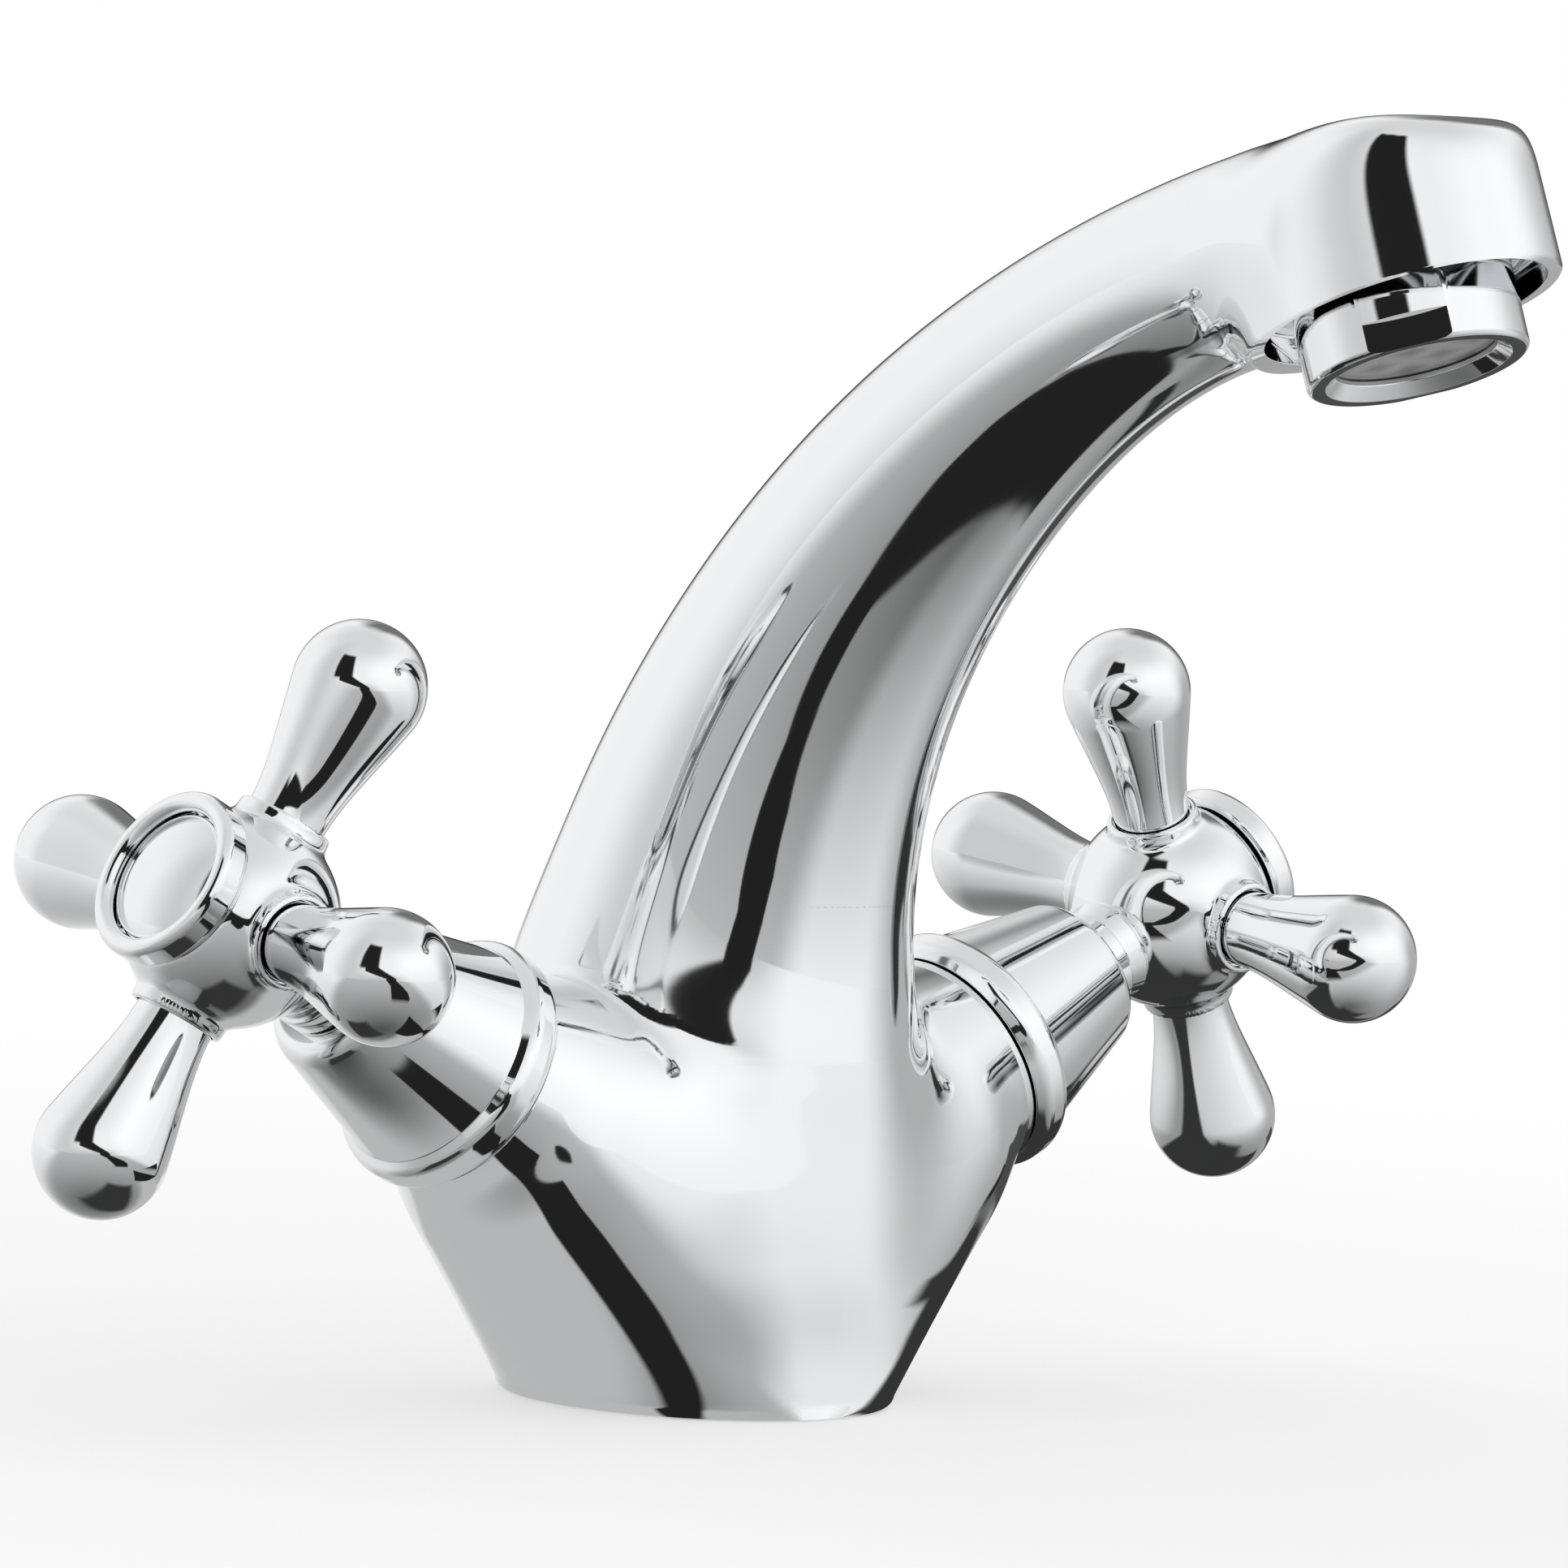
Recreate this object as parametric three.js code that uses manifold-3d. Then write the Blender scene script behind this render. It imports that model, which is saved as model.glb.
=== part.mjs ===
// Two-handle deck-mounted basin mixer with a fixed spout, as separate pieces.
// Millimetres, +Z up, origin at the centre of the foot on the deck, spout towards -Y,
// hot valve and handle on the -X side, cold on the +X side.
import * as THREE from "three";
import { mergeVertices } from "three/addons/utils/BufferGeometryUtils.js";
import Module from "manifold-3d";

const wasm = await Module();
wasm.setup();

const { degToRad } = THREE.MathUtils;
const fullTurn = 2 * Math.PI;

// ---- Fits shared by all pieces ----
const seatGap = 0.3; // between faces that seat on one another
const runningGap = 0.15; // radial, round a turning piece
const slipGap = 0.3; // radial, round a fixed piece in its bore
const grooveGap = 0.1; // between a ring and the ends of its groove
const grooveDepthGap = 0.2; // between a ring and the floor of its groove
const cutOver = 1; // how far a cutting solid runs past the face it opens
const joinOver = 0.5; // how far a joined solid runs into its neighbour

// ---- Whole faucet ----
const footRadius = 24.35;
const footRounding = 1.5;
const handleSpan = 76.5; // middle plane to the centre of a cross handle
const handleHeight = 59; // deck to the centre of a cross handle
const valveRise = degToRad(27.2); // slope of a valve's axis
const outletReach = 109.4; // foot centre to outlet centre
const outletHeight = 137.1; // deck to the centre of the outlet's rim
const outletTilt = degToRad(22.2); // the stream leans forward by this much

// ---- Spout, a tapering tube on a Bezier centre line ----
const columnHeight = 43.4; // where the straight column turns into the spout
const columnTaper = 0.05; // the column is this much slimmer than its foot
const columnRadius = footRadius - columnTaper;
const spoutRise = 52.6; // pull of the column's end on the curve
const spoutRun = 44.9; // pull of the head's end on the curve
const spoutEndBack = 9.3; // the centre line ends this far behind the outlet
const spoutEndRise = 7.4; // and this far above the outlet's rim
const spoutEndSlope = degToRad(4.4);
const spoutWall = 3.6;
const rootHeight = 50; // the spout swells here, mostly at the back, over the shoulders
const rootSpread = 11;
const rootSwell = 1.33;
const rootBack = 1.04;
// Tube radius at even steps along the centre line, column first.
const spoutRadii = [columnRadius, 21.6, 18.5, 16.2, 14.1, 12.35, 11.95, 13.4];

// ---- Aerator ----
const aeratorThreadRadius = 11.9; // M24
const aeratorThreadLength = 7;
const aeratorStep = 0.96; // the collar stands out past the thread
const aeratorRadius = aeratorThreadRadius + aeratorStep;
const aeratorWall = 1.5;
const aeratorBore = aeratorThreadRadius - aeratorWall;
const aeratorDrop = 7; // below the head's rim
const aeratorEdge = 0.6; // chamfer of the collar's lower edge
const aeratorLip = 1.1; // inward lip that carries the screen
const aeratorLipHeight = 2;
const throatHeight = 0.6;
const throatFlare = 1.5;
const flatSagitta = 0.95; // the wrench flats cut this deep into the collar
const flatHeight = 3.6;
const flatHeading = degToRad(-132);
const screenHeight = 0.6;
const screenHoleRadius = 1.05;
const screenRings = [[0, 1], [3.6, 6], [7, 9]]; // radius and number of holes
const insertWall = 1.1;
const insertPlateLow = 3;
const insertPlateHigh = 5.5;
const insertTopInset = 1;
const insertHoles = 6;
const insertHoleRadius = 1.6;
const insertHoleCircle = 6;
const washerHeight = 1.2;
const washerLap = 2; // the washer reaches in past the aerator's bore

// ---- Head ----
const headWall = 1.8;
const recessGap = 1.69; // open ring between the aerator and the head's wall
const recessDepth = 3.5;
const headHalfWidth = aeratorRadius + recessGap + headWall;
const headStretch = 3.45; // the head is longer than wide by this at each end
const headHalfLength = headHalfWidth + headStretch;
const headTaper = 0.03; // the walls lean in by this slope towards the top
const headCupHeight = 34;
const headRise = 22.4; // outlet's centre to the flat of the head's top
const headTop = outletHeight + headRise;
const chamberHeight = 3; // room above the aerator
const crownDepth = 42;
const crownStart = 0.8; // share of the spout's length where the crown takes over
// Sections of the crown: behind the outlet's centre, half width, squareness, drop from the top.
const crownSections = [
  [14, 15, 2.6, 3.2],
  [1, 17.5, 3.6, 0.7],
  [-22, 20.5, 5, 0],
];

// ---- Valve cartridge ----
const threadRadius = 10.1; // valve's threaded shell
const threadLength = 10;
const threadStep = 1.2; // the lower barrel is this much slimmer than the thread
const barrelRadius = threadRadius - threadStep;
const barrelWall = 1.9;
const bonnetSealWidth = 1.4;
const bonnetSealHeight = 1.1;
const flangeRadius = threadRadius + slipGap + bonnetSealWidth;
const flangeHeight = 1.4;
const hexRadius = 11.6;
const hexHeight = 3.6;
const discRadius = barrelRadius - barrelWall - slipGap;
const fixedDiscHeight = 1.9;
const movingDiscHeight = 1.7;
const discPortInner = 1.8;
const discPortOuter = 5.4;
const discPortHalfAngle = degToRad(62);
const tongueWidth = 2.4;
const tongueHeight = 0.6;
const tongueEnd = 1; // the tongue stops this far inside the disc's edge
const gasketInner = 4.6;
const gasketHeight = 1.8;
const footHeight = 2.3; // spindle's foot, which turns the moving disc
const windowHeight = 3;
const windowWidth = 7;
const spindleRadius = 4;
const neckWall = 3.2;
const neckRadius = spindleRadius + neckWall;
const noseWall = 1.7;
const noseRadius = spindleRadius + noseWall;
const noseHeight = 1.1;
const noseDrop = 0.5; // the nose ends this far below the bell's end face
const oringRadius = 0.75;
const oringDepth = 33; // handle centre to the O-ring
const clipReach = 1; // the clip stands out past the spindle
const clipRadius = spindleRadius + clipReach;
const clipHeight = 0.8;
const clipGrooveDepth = 0.7;
const clipGrooveRadius = spindleRadius - clipGrooveDepth;
const clipOpening = degToRad(50);
const splineTeeth = 12;
const splineDepth = 0.55;
const splineRoot = spindleRadius - splineDepth;
const splineEnd = 3; // spindle's end, below the handle's centre

// ---- Shoulders that carry the valves ----
const bellWall = 1.3;
const flangeRoom = 1.2; // between the valve's flange and the bell
const shoulderDepth = 41.6; // handle centre to the shoulder's face, along the valve
const shoulderRadius = flangeRadius + flangeRoom + bellWall;
const shoulderFlare = Math.tan(degToRad(18));
const shoulderEase = 0.00265; // flattens the flare sideways, towards the middle
const flankInset = 0.4; // the flank ends this far inside the shoulder's rim

// ---- Valve pocket and waterways ----
const chamberGap = 0.5; // water room round the lower barrel
const chamberRadius = barrelRadius + chamberGap;
const seatDepth = 18.4; // shoulder's face to the valve seat
const portRadius = 3.8;
const inletOffset = 12;
const inletThreadRadius = 4.9; // for M10 hose tails
const inletThreadDepth = 12;
const riserRadius = 3.2; // from each inlet's thread up to its valve port
const mixingRadius = 3.5;
const mixingDrop = 3; // below the thread, where the mixed way leaves the chamber
const mixingHeight = 50; // where both mixed ways meet the spout's duct
const ductRootRadius = 11;
const ductNeckRadius = 5.5; // over the aerator
const studRadius = 3.4; // for an M8 fixing stud
const studDepth = 14;
const studOffset = 13;
const sealInset = 3.45; // the seal lies this far inside the foot's edge
const sealWidth = 3.6;
const sealOuter = footRadius - sealInset;
const sealInner = sealOuter - sealWidth;
const sealHeight = 2.2;

// ---- Cross handle ----
const hubRadius = 12.9;
const hubFaceHeight = 8.4;
const collarWall = 1.3;
const collarRadius = clipRadius + slipGap + collarWall;
const collarHeight = 2.6;
const collarEdge = 0.4;
const collarStep = 0.7;
const screwRadius = 2;
const screwHeadRadius = 3.7;
const screwHeadHeight = 2.4;
const screwLength = 8;
const screwSlotWidth = 1;
const screwSlotDepth = 1;
const screwFloor = 1.6; // hub's web under the screw's head
const armTwist = degToRad(8); // handles stop this far round, mirrored side to side
const armRootRadius = 4.8;
const armBossWall = 0.7;
const armBossRadius = armRootRadius + slipGap + armBossWall;
const armBossLip = 0.5; // the boss stands this far out of the ball
const armBossReach = hubRadius + armBossLip;
const armSocketDepth = 1;
const armStubRadius = 2.4;
const armBallReach = 31;
const armBallRadius = 8;
const armBallMeet = degToRad(12); // the flank meets the ball this far behind its widest place
const armRootPull = 5;
const armBallPull = 7;
const buttonRadius = 8.6;
const buttonEdge = 0.7;
const buttonDome = 2.2;
const indexRingWall = 1.77;
const indexRingRadius = buttonRadius + slipGap + indexRingWall;
const indexRingHeight = 3.7;
const indexLedge = 1.2;
const indexSkirtInset = 1.3; // the skirt is this much slimmer than the button
const indexSkirtRadius = buttonRadius - indexSkirtInset;
const indexSkirtWall = 1;
const indexSkirtLength = 3.4;

// ---- Bell shroud over each valve ----
const hubStandoff = 4.5; // the bell's end face lies this far below the hub's ball
const bellTopDepth = hubRadius + hubStandoff;
const bellTopRadius = 9.6;
const bellRounding = 2.8;
const bellBossLength = 5.2;
const beadBulge = 1.2;
const beadHeight = 3;

// ---- Roundness of the faceted solids ----
const castingSides = 24;
const turnedSides = 20;
const sealSides = 14;
const smallSides = 12;

// ---- Materials ----
const finish = (color, roughness, metalness) =>
  new THREE.MeshStandardMaterial({ color, roughness, metalness });
const chrome = () => finish(0xdfe1e3, 0.05, 1);
const brass = () => finish(0xb9923f, 0.35, 1);
const steel = () => finish(0xb4b7ba, 0.3, 1);
const rubber = () => finish(0x1b1b1c, 0.8, 0);
const ceramic = () => finish(0xf1efe8, 0.25, 0);
const plastic = () => finish(0x6a6c6e, 0.5, 0);

// ---- Solids ----

// A closed geometry as a solid that can be joined and cut.
function toSolid(geometry, placement = new THREE.Matrix4()) {
  const bare = geometry.index ? geometry.toNonIndexed() : geometry.clone();
  bare.applyMatrix4(placement);
  bare.deleteAttribute("normal");
  bare.deleteAttribute("uv");
  const merged = mergeVertices(bare, 1e-4);
  const mesh = new wasm.Mesh({
    numProp: 3,
    vertProperties: merged.attributes.position.array,
    triVerts: new Uint32Array(merged.index.array),
  });
  return new wasm.Manifold(mesh);
}

function toGeometry(solid) {
  const mesh = solid.getMesh();
  const geometry = new THREE.BufferGeometry();
  geometry.setAttribute("position", new THREE.BufferAttribute(mesh.vertProperties, 3));
  geometry.setIndex(new THREE.BufferAttribute(mesh.triVerts, 1));
  geometry.computeVertexNormals();
  return geometry;
}

// Turned about +Z from [radius, height] points that run anticlockwise in section.
function turned(profile, sides = turnedSides) {
  const points = profile.map(([radius, height]) => new THREE.Vector2(radius, height));
  return new THREE.LatheGeometry(points, sides).rotateX(Math.PI / 2);
}

function rod(radius, low, high, sides = smallSides) {
  return turned([[0, low], [radius, low], [radius, high], [0, high]], sides);
}

function ring(inner, outer, low, high, sides = turnedSides) {
  return turned(
    [[inner, low], [outer, low], [outer, high], [inner, high], [inner, low]],
    sides,
  );
}

function box(width, depth, low, high) {
  return new THREE.BoxGeometry(width, depth, high - low).translate(0, 0, (low + high) / 2);
}

// Skin through loops of equal length, closed by a flat fan at each end.
function loft(loops) {
  const sides = loops[0].length;
  const centre = (loop) =>
    loop.reduce((sum, point) => sum.add(point), new THREE.Vector3()).divideScalar(sides);
  const points = [...loops.flat(), centre(loops[0]), centre(loops.at(-1))];
  const index = [];
  for (let side = 0; side < sides; side++) {
    const next = (side + 1) % sides;
    for (let row = 0; row < loops.length - 1; row++) {
      const a = row * sides + side;
      const b = row * sides + next;
      index.push(a, b, b + sides, a, b + sides, a + sides);
    }
    const last = (loops.length - 1) * sides;
    index.push(points.length - 2, next, side);
    index.push(points.length - 1, last + side, last + next);
  }
  return new THREE.BufferGeometry().setFromPoints(points).setIndex(index);
}

// One superellipse between two axes: squareness 2 is an ellipse, more is boxier.
function ovalLoop(centre, acrossAxis, across, alongAxis, along, squareness, sides) {
  const bend = (value) => Math.sign(value) * Math.abs(value) ** (2 / squareness);
  return Array.from({ length: sides }, (_, step) => {
    const angle = (fullTurn * step) / sides;
    return centre
      .clone()
      .addScaledVector(acrossAxis, across * bend(Math.cos(angle)))
      .addScaledVector(alongAxis, along * bend(Math.sin(angle)));
  });
}

function ellipseLoop(centre, acrossAxis, across, alongAxis, along, sides = castingSides) {
  return ovalLoop(centre, acrossAxis, across, alongAxis, along, 2, sides);
}

// ---- Frames ----
const xAxis = new THREE.Vector3(1, 0, 0);
const yAxis = new THREE.Vector3(0, 1, 0);
const zAxis = new THREE.Vector3(0, 0, 1);

// A valve's frame: origin at the handle's centre, +Z outward along the spindle,
// +X up across it. The hot side is the cold side turned half a turn about the foot.
function valveFrame(side) {
  const outward = new THREE.Vector3(Math.cos(valveRise), 0, Math.sin(valveRise));
  const upward = new THREE.Vector3(-Math.sin(valveRise), 0, Math.cos(valveRise));
  const frame = new THREE.Matrix4()
    .makeBasis(upward, outward.clone().cross(upward), outward)
    .setPosition(handleSpan, 0, handleHeight);
  if (side < 0) frame.premultiply(new THREE.Matrix4().makeRotationZ(Math.PI));
  return frame;
}

// The outlet's frame: origin at the rim's centre, +Z up into the head, +Y backward.
const outletUp = new THREE.Vector3(0, Math.sin(outletTilt), Math.cos(outletTilt));
const outletFrame = new THREE.Matrix4()
  .makeBasis(xAxis, outletUp.clone().cross(xAxis), outletUp)
  .setPosition(0, -outletReach, outletHeight);

// ---- Spout's centre line and radius ----
const spoutEnd = new THREE.Vector3(
  0,
  spoutEndBack - outletReach,
  outletHeight + spoutEndRise,
);
const spoutLine = new THREE.CubicBezierCurve3(
  new THREE.Vector3(0, 0, columnHeight),
  new THREE.Vector3(0, 0, columnHeight + spoutRise),
  new THREE.Vector3(0, Math.cos(spoutEndSlope), -Math.sin(spoutEndSlope))
    .multiplyScalar(spoutRun)
    .add(spoutEnd),
  spoutEnd,
);
const radiusCurve = new THREE.SplineCurve(
  spoutRadii.map((radius, step) => new THREE.Vector2(step, radius)),
);
const spoutRadiusAt = (t) => radiusCurve.getPoint(t).y;

function spoutNormalAt(t) {
  return spoutLine.getTangent(t).cross(xAxis);
}

// A round section of the column or spout, widened and moved back near the root.
function tubeLoop(centre, normal, radius) {
  const swell = Math.exp(-(((centre.z - rootHeight) / rootSpread) ** 2));
  const wide = radius + rootSwell * swell;
  const moved = centre.clone().addScaledVector(yAxis, rootBack * swell);
  return ellipseLoop(moved, xAxis, wide, normal, wide);
}

function spoutLoop(t, radius) {
  return tubeLoop(spoutLine.getPoint(t), spoutNormalAt(t), radius);
}

// ---- Body casting ----
function columnAndSpout() {
  const foot = [0, 0.3, 1].map((share) => {
    const inset = footRounding * (1 - Math.sqrt(1 - (1 - share) ** 2));
    const height = footRounding * share;
    return [footRadius - inset, height];
  });
  const column = [0.45, 0.7, 0.85].map((share) => [
    footRadius - columnTaper * share,
    columnHeight * share,
  ]);
  const loops = foot.map(([radius, height]) =>
    ellipseLoop(new THREE.Vector3(0, 0, height), xAxis, radius, yAxis, radius),
  );
  for (const [radius, height] of column) {
    loops.push(tubeLoop(new THREE.Vector3(0, 0, height), yAxis, radius));
  }
  const steps = 12;
  for (let step = 0; step <= steps; step++) {
    const t = step / steps;
    loops.push(spoutLoop(t, spoutRadiusAt(t)));
  }
  return toSolid(loft(loops));
}

// A shoulder flares inward along the valve's axis until it meets the column's middle.
function shoulder(side) {
  const frame = valveFrame(side);
  const length = handleSpan / Math.cos(valveRise) - shoulderDepth;
  const depths = [1, 0.75, 0.5, 0.25, 0].map((share) => share * length);
  const loops = depths.map((depth) => {
    const tall = shoulderRadius + shoulderFlare * depth;
    const wide = tall - shoulderEase * depth ** 2;
    const centre = new THREE.Vector3(0, 0, -shoulderDepth - depth);
    return ellipseLoop(centre, xAxis, tall, yAxis, wide);
  });
  return toSolid(loft(loops), frame);
}

// The flank that runs straight from the foot's edge to the shoulder's rim.
function flank(side) {
  const frame = valveFrame(side);
  const rimCentre = new THREE.Vector3(0, 0, -shoulderDepth - flankInset).applyMatrix4(frame);
  const rimRadius = shoulderRadius - flankInset;
  const acrossRim = new THREE.Vector3(-1, 0, 0).transformDirection(frame);
  const footCentre = new THREE.Vector3(0, 0, footRounding);
  const outward = xAxis.clone().multiplyScalar(side);
  const sideways = yAxis.clone().multiplyScalar(side);
  return toSolid(
    loft([
      ellipseLoop(footCentre, outward, footRadius, sideways, footRadius),
      ellipseLoop(rimCentre, acrossRim, rimRadius, sideways, rimRadius),
    ]),
  );
}

// An oval cup whose walls follow the outlet's axis, under a crown that carries on
// the spout's back.
function head() {
  const cup = [0, headCupHeight].map((height) =>
    ellipseLoop(
      new THREE.Vector3(0, 0, height),
      xAxis,
      headHalfWidth - headTaper * height,
      yAxis,
      headHalfLength - headTaper * height,
    ),
  );
  const crown = [spoutLoop(crownStart, spoutRadiusAt(crownStart))];
  for (const [behind, halfWidth, squareness, dropped] of crownSections) {
    const middle = headTop - dropped - crownDepth / 2;
    const centre = new THREE.Vector3(0, behind - outletReach, middle);
    crown.push(
      ovalLoop(centre, xAxis, halfWidth, zAxis, crownDepth / 2, squareness, castingSides),
    );
  }
  return toSolid(loft(cup), outletFrame).intersect(toSolid(loft(crown)));
}

// Everything that one valve needs out of the casting, in the valve's frame.
function valvePocket() {
  const seat = -shoulderDepth - seatDepth;
  const portEnd = -(handleSpan - inletOffset) / Math.cos(valveRise);
  const counterbore = flangeRadius + slipGap;
  return turned(
    [
      [0, portEnd],
      [portRadius, portEnd],
      [portRadius, seat],
      [chamberRadius, seat],
      [chamberRadius, -shoulderDepth - threadLength],
      [threadRadius + slipGap, -shoulderDepth - threadLength],
      [threadRadius + slipGap, -shoulderDepth - bonnetSealHeight - seatGap],
      [counterbore, -shoulderDepth - bonnetSealHeight - seatGap],
      [counterbore, cutOver - shoulderDepth],
      [0, cutOver - shoulderDepth],
    ],
    castingSides,
  );
}

// From the valve chamber's upper wall to the foot of the spout's duct.
function mixedWay(side) {
  const depth = shoulderDepth + threadLength + mixingDrop;
  const start = new THREE.Vector3(chamberRadius - mixingRadius, 0, -depth);
  start.applyMatrix4(valveFrame(side));
  const end = new THREE.Vector3(0, 0, mixingHeight);
  const line = end.clone().sub(start);
  const turn = new THREE.Quaternion().setFromUnitVectors(zAxis, line.clone().normalize());
  const placement = new THREE.Matrix4().compose(start, turn, new THREE.Vector3(1, 1, 1));
  return toSolid(rod(mixingRadius, 0, line.length()), placement);
}

const boreTop = recessDepth + aeratorThreadLength + washerHeight + 2 * seatGap;

function spoutDuct() {
  const chamberTop = boreTop + chamberHeight;
  const chamberCentre = new THREE.Vector3(0, 0, chamberTop).applyMatrix4(outletFrame);
  const stations = [0.08, 0.2, 0.4, 0.6, 0.8];
  const line = new THREE.CatmullRomCurve3([
    ...stations.map((t) => spoutLine.getPoint(t)),
    chamberCentre,
  ]);
  const steps = 9;
  const loops = [];
  for (let step = 0; step <= steps; step++) {
    const u = step / steps;
    const centre = line.getPoint(u);
    const normal = line.getTangent(u).cross(xAxis);
    const share = Math.min(1, (1 - u) * stations.length);
    const open = spoutRadiusAt(Math.min(u, stations.at(-1))) - spoutWall;
    const eased = ductNeckRadius + (open - ductNeckRadius) * share;
    const wide = step === 0 ? ductRootRadius : eased;
    loops.push(ellipseLoop(centre, xAxis, wide, normal, wide, sealSides));
  }
  const chamber = rod(aeratorBore - cutOver, boreTop - cutOver, chamberTop, sealSides);
  return toSolid(loft(loops)).add(toSolid(chamber, outletFrame));
}

function outletCuts() {
  const recess = [-aeratorDrop, recessDepth].map((height) =>
    ellipseLoop(
      new THREE.Vector3(0, 0, height),
      xAxis,
      headHalfWidth - headWall,
      yAxis,
      headHalfLength - headWall,
    ),
  );
  const bore = rod(aeratorThreadRadius + slipGap, recessDepth - cutOver, boreTop, turnedSides);
  return toSolid(loft(recess), outletFrame).add(toSolid(bore, outletFrame));
}

function bodyCasting() {
  let casting = columnAndSpout().add(head());
  for (const side of [-1, 1]) {
    casting = casting.add(shoulder(side)).add(flank(side));
  }
  const room = 2 * (handleSpan + outletReach);
  casting = casting.intersect(toSolid(box(room, room, 0, 2 * headTop)));
  casting = casting.subtract(spoutDuct()).subtract(outletCuts());
  for (const side of [-1, 1]) {
    casting = casting.subtract(toSolid(valvePocket(), valveFrame(side)));
    casting = casting.subtract(mixedWay(side));
    const meeting = handleHeight - (handleSpan - inletOffset) * Math.tan(valveRise);
    const inlet = toSolid(rod(inletThreadRadius, -cutOver, inletThreadDepth))
      .add(toSolid(rod(riserRadius, 0, meeting + riserRadius / 2)))
      .translate(side * inletOffset, 0, 0);
    casting = casting.subtract(inlet);
  }
  const stud = toSolid(rod(studRadius, -cutOver, studDepth)).translate(0, -studOffset, 0);
  const grooveInner = sealInner - slipGap;
  const grooveOuter = sealOuter + slipGap;
  const groove = ring(grooveInner, grooveOuter, -cutOver, sealHeight + seatGap);
  return casting.subtract(stud).subtract(toSolid(groove));
}

// ---- Valve cartridge, in the valve's frame ----
const barrelEnd = -shoulderDepth - seatDepth + gasketHeight + 2 * seatGap;
const fixedDiscLow = barrelEnd + seatGap;
const movingDiscLow = fixedDiscLow + fixedDiscHeight + seatGap;
const footLow = movingDiscLow + movingDiscHeight + seatGap;
const footTop = footLow + footHeight;
const flangeLow = seatGap - shoulderDepth;
const hexTop = flangeLow + flangeHeight + hexHeight;
const noseTop = -bellTopDepth - noseDrop;
const neckTop = noseTop - noseHeight;
const spindleBore = spindleRadius + runningGap;
const clipLow = noseTop + seatGap;
const clipTop = clipLow + clipHeight;

function valveBody() {
  const shell = turned([
    [discRadius + slipGap, barrelEnd],
    [barrelRadius, barrelEnd],
    [barrelRadius, -shoulderDepth - threadLength],
    [threadRadius, -shoulderDepth - threadLength + seatGap],
    [threadRadius, flangeLow],
    [flangeRadius, flangeLow],
    [flangeRadius, flangeLow + flangeHeight],
    [neckRadius, flangeLow + flangeHeight],
    [neckRadius, neckTop],
    [noseRadius, neckTop],
    [noseRadius, noseTop],
    [spindleBore, noseTop],
    [spindleBore, footTop + seatGap],
    [discRadius + slipGap, footTop + seatGap],
    [discRadius + slipGap, barrelEnd],
  ]);
  const hexLow = hexTop - hexHeight - joinOver;
  const hex = ring(neckRadius - 2 * joinOver, hexRadius, hexLow, hexTop, 6);
  const windowTop = movingDiscLow + windowHeight;
  const window = box(4 * barrelRadius, windowWidth, movingDiscLow, windowTop);
  return toSolid(shell).add(toSolid(hex)).subtract(toSolid(window));
}

function bonnetSeal() {
  const inner = threadRadius + slipGap;
  const low = -shoulderDepth - bonnetSealHeight;
  return ring(inner, inner + bonnetSealWidth, low, low + bonnetSealHeight, sealSides);
}

function seatGasket() {
  const low = seatGap - shoulderDepth - seatDepth;
  return ring(gasketInner, barrelRadius - slipGap, low, low + gasketHeight, sealSides);
}

// Half-moon port between two radii, centred on the given heading.
function halfMoon(inner, outer, heading) {
  const from = heading - discPortHalfAngle;
  const to = heading + discPortHalfAngle;
  return new THREE.Shape()
    .absarc(0, 0, outer, from, to, false)
    .absarc(0, 0, inner, to, from, true);
}

function port(inner, outer, heading, low, high) {
  const cut = new THREE.ExtrudeGeometry(halfMoon(inner, outer, heading), {
    depth: high - low,
    bevelEnabled: false,
    curveSegments: 6,
  });
  return toSolid(cut.translate(0, 0, low));
}

// The fixed disc's port points down when the moving disc's points up: closed.
function fixedDisc() {
  const high = fixedDiscLow + fixedDiscHeight;
  const disc = toSolid(rod(discRadius, fixedDiscLow, high, turnedSides));
  const low = fixedDiscLow - cutOver;
  return disc.subtract(port(discPortInner, discPortOuter, Math.PI, low, high + cutOver));
}

function movingDisc() {
  const high = movingDiscLow + movingDiscHeight;
  const disc = toSolid(rod(discRadius, movingDiscLow, high, turnedSides));
  const low = movingDiscLow - cutOver;
  const through = port(discPortInner, 2 * discRadius, 0, low, high + cutOver);
  const slotWidth = tongueWidth + 2 * slipGap;
  const slotLow = high - tongueHeight;
  const slot = box(slotWidth, 4 * discRadius, slotLow, high + cutOver);
  return disc.subtract(through).subtract(toSolid(slot));
}

// A fluted outline: the spindle's spline, or with a gap added, the hub's socket.
function splineShape(gap) {
  const shape = new THREE.Shape();
  for (let point = 0; point < 2 * splineTeeth; point++) {
    const radius = (point % 2 ? splineRoot : spindleRadius) + gap;
    const angle = (fullTurn * point) / (2 * splineTeeth);
    shape[point ? "lineTo" : "moveTo"](radius * Math.cos(angle), radius * Math.sin(angle));
  }
  return shape;
}

function splineSolid(gap, low, high) {
  const extrude = { depth: high - low, bevelEnabled: false };
  return toSolid(new THREE.ExtrudeGeometry(splineShape(gap), extrude).translate(0, 0, low));
}

const splineLow = clipTop + seatGap;
const screwBore = screwRadius + runningGap;
const oringCentre = spindleBore - grooveGap - oringRadius;

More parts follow.
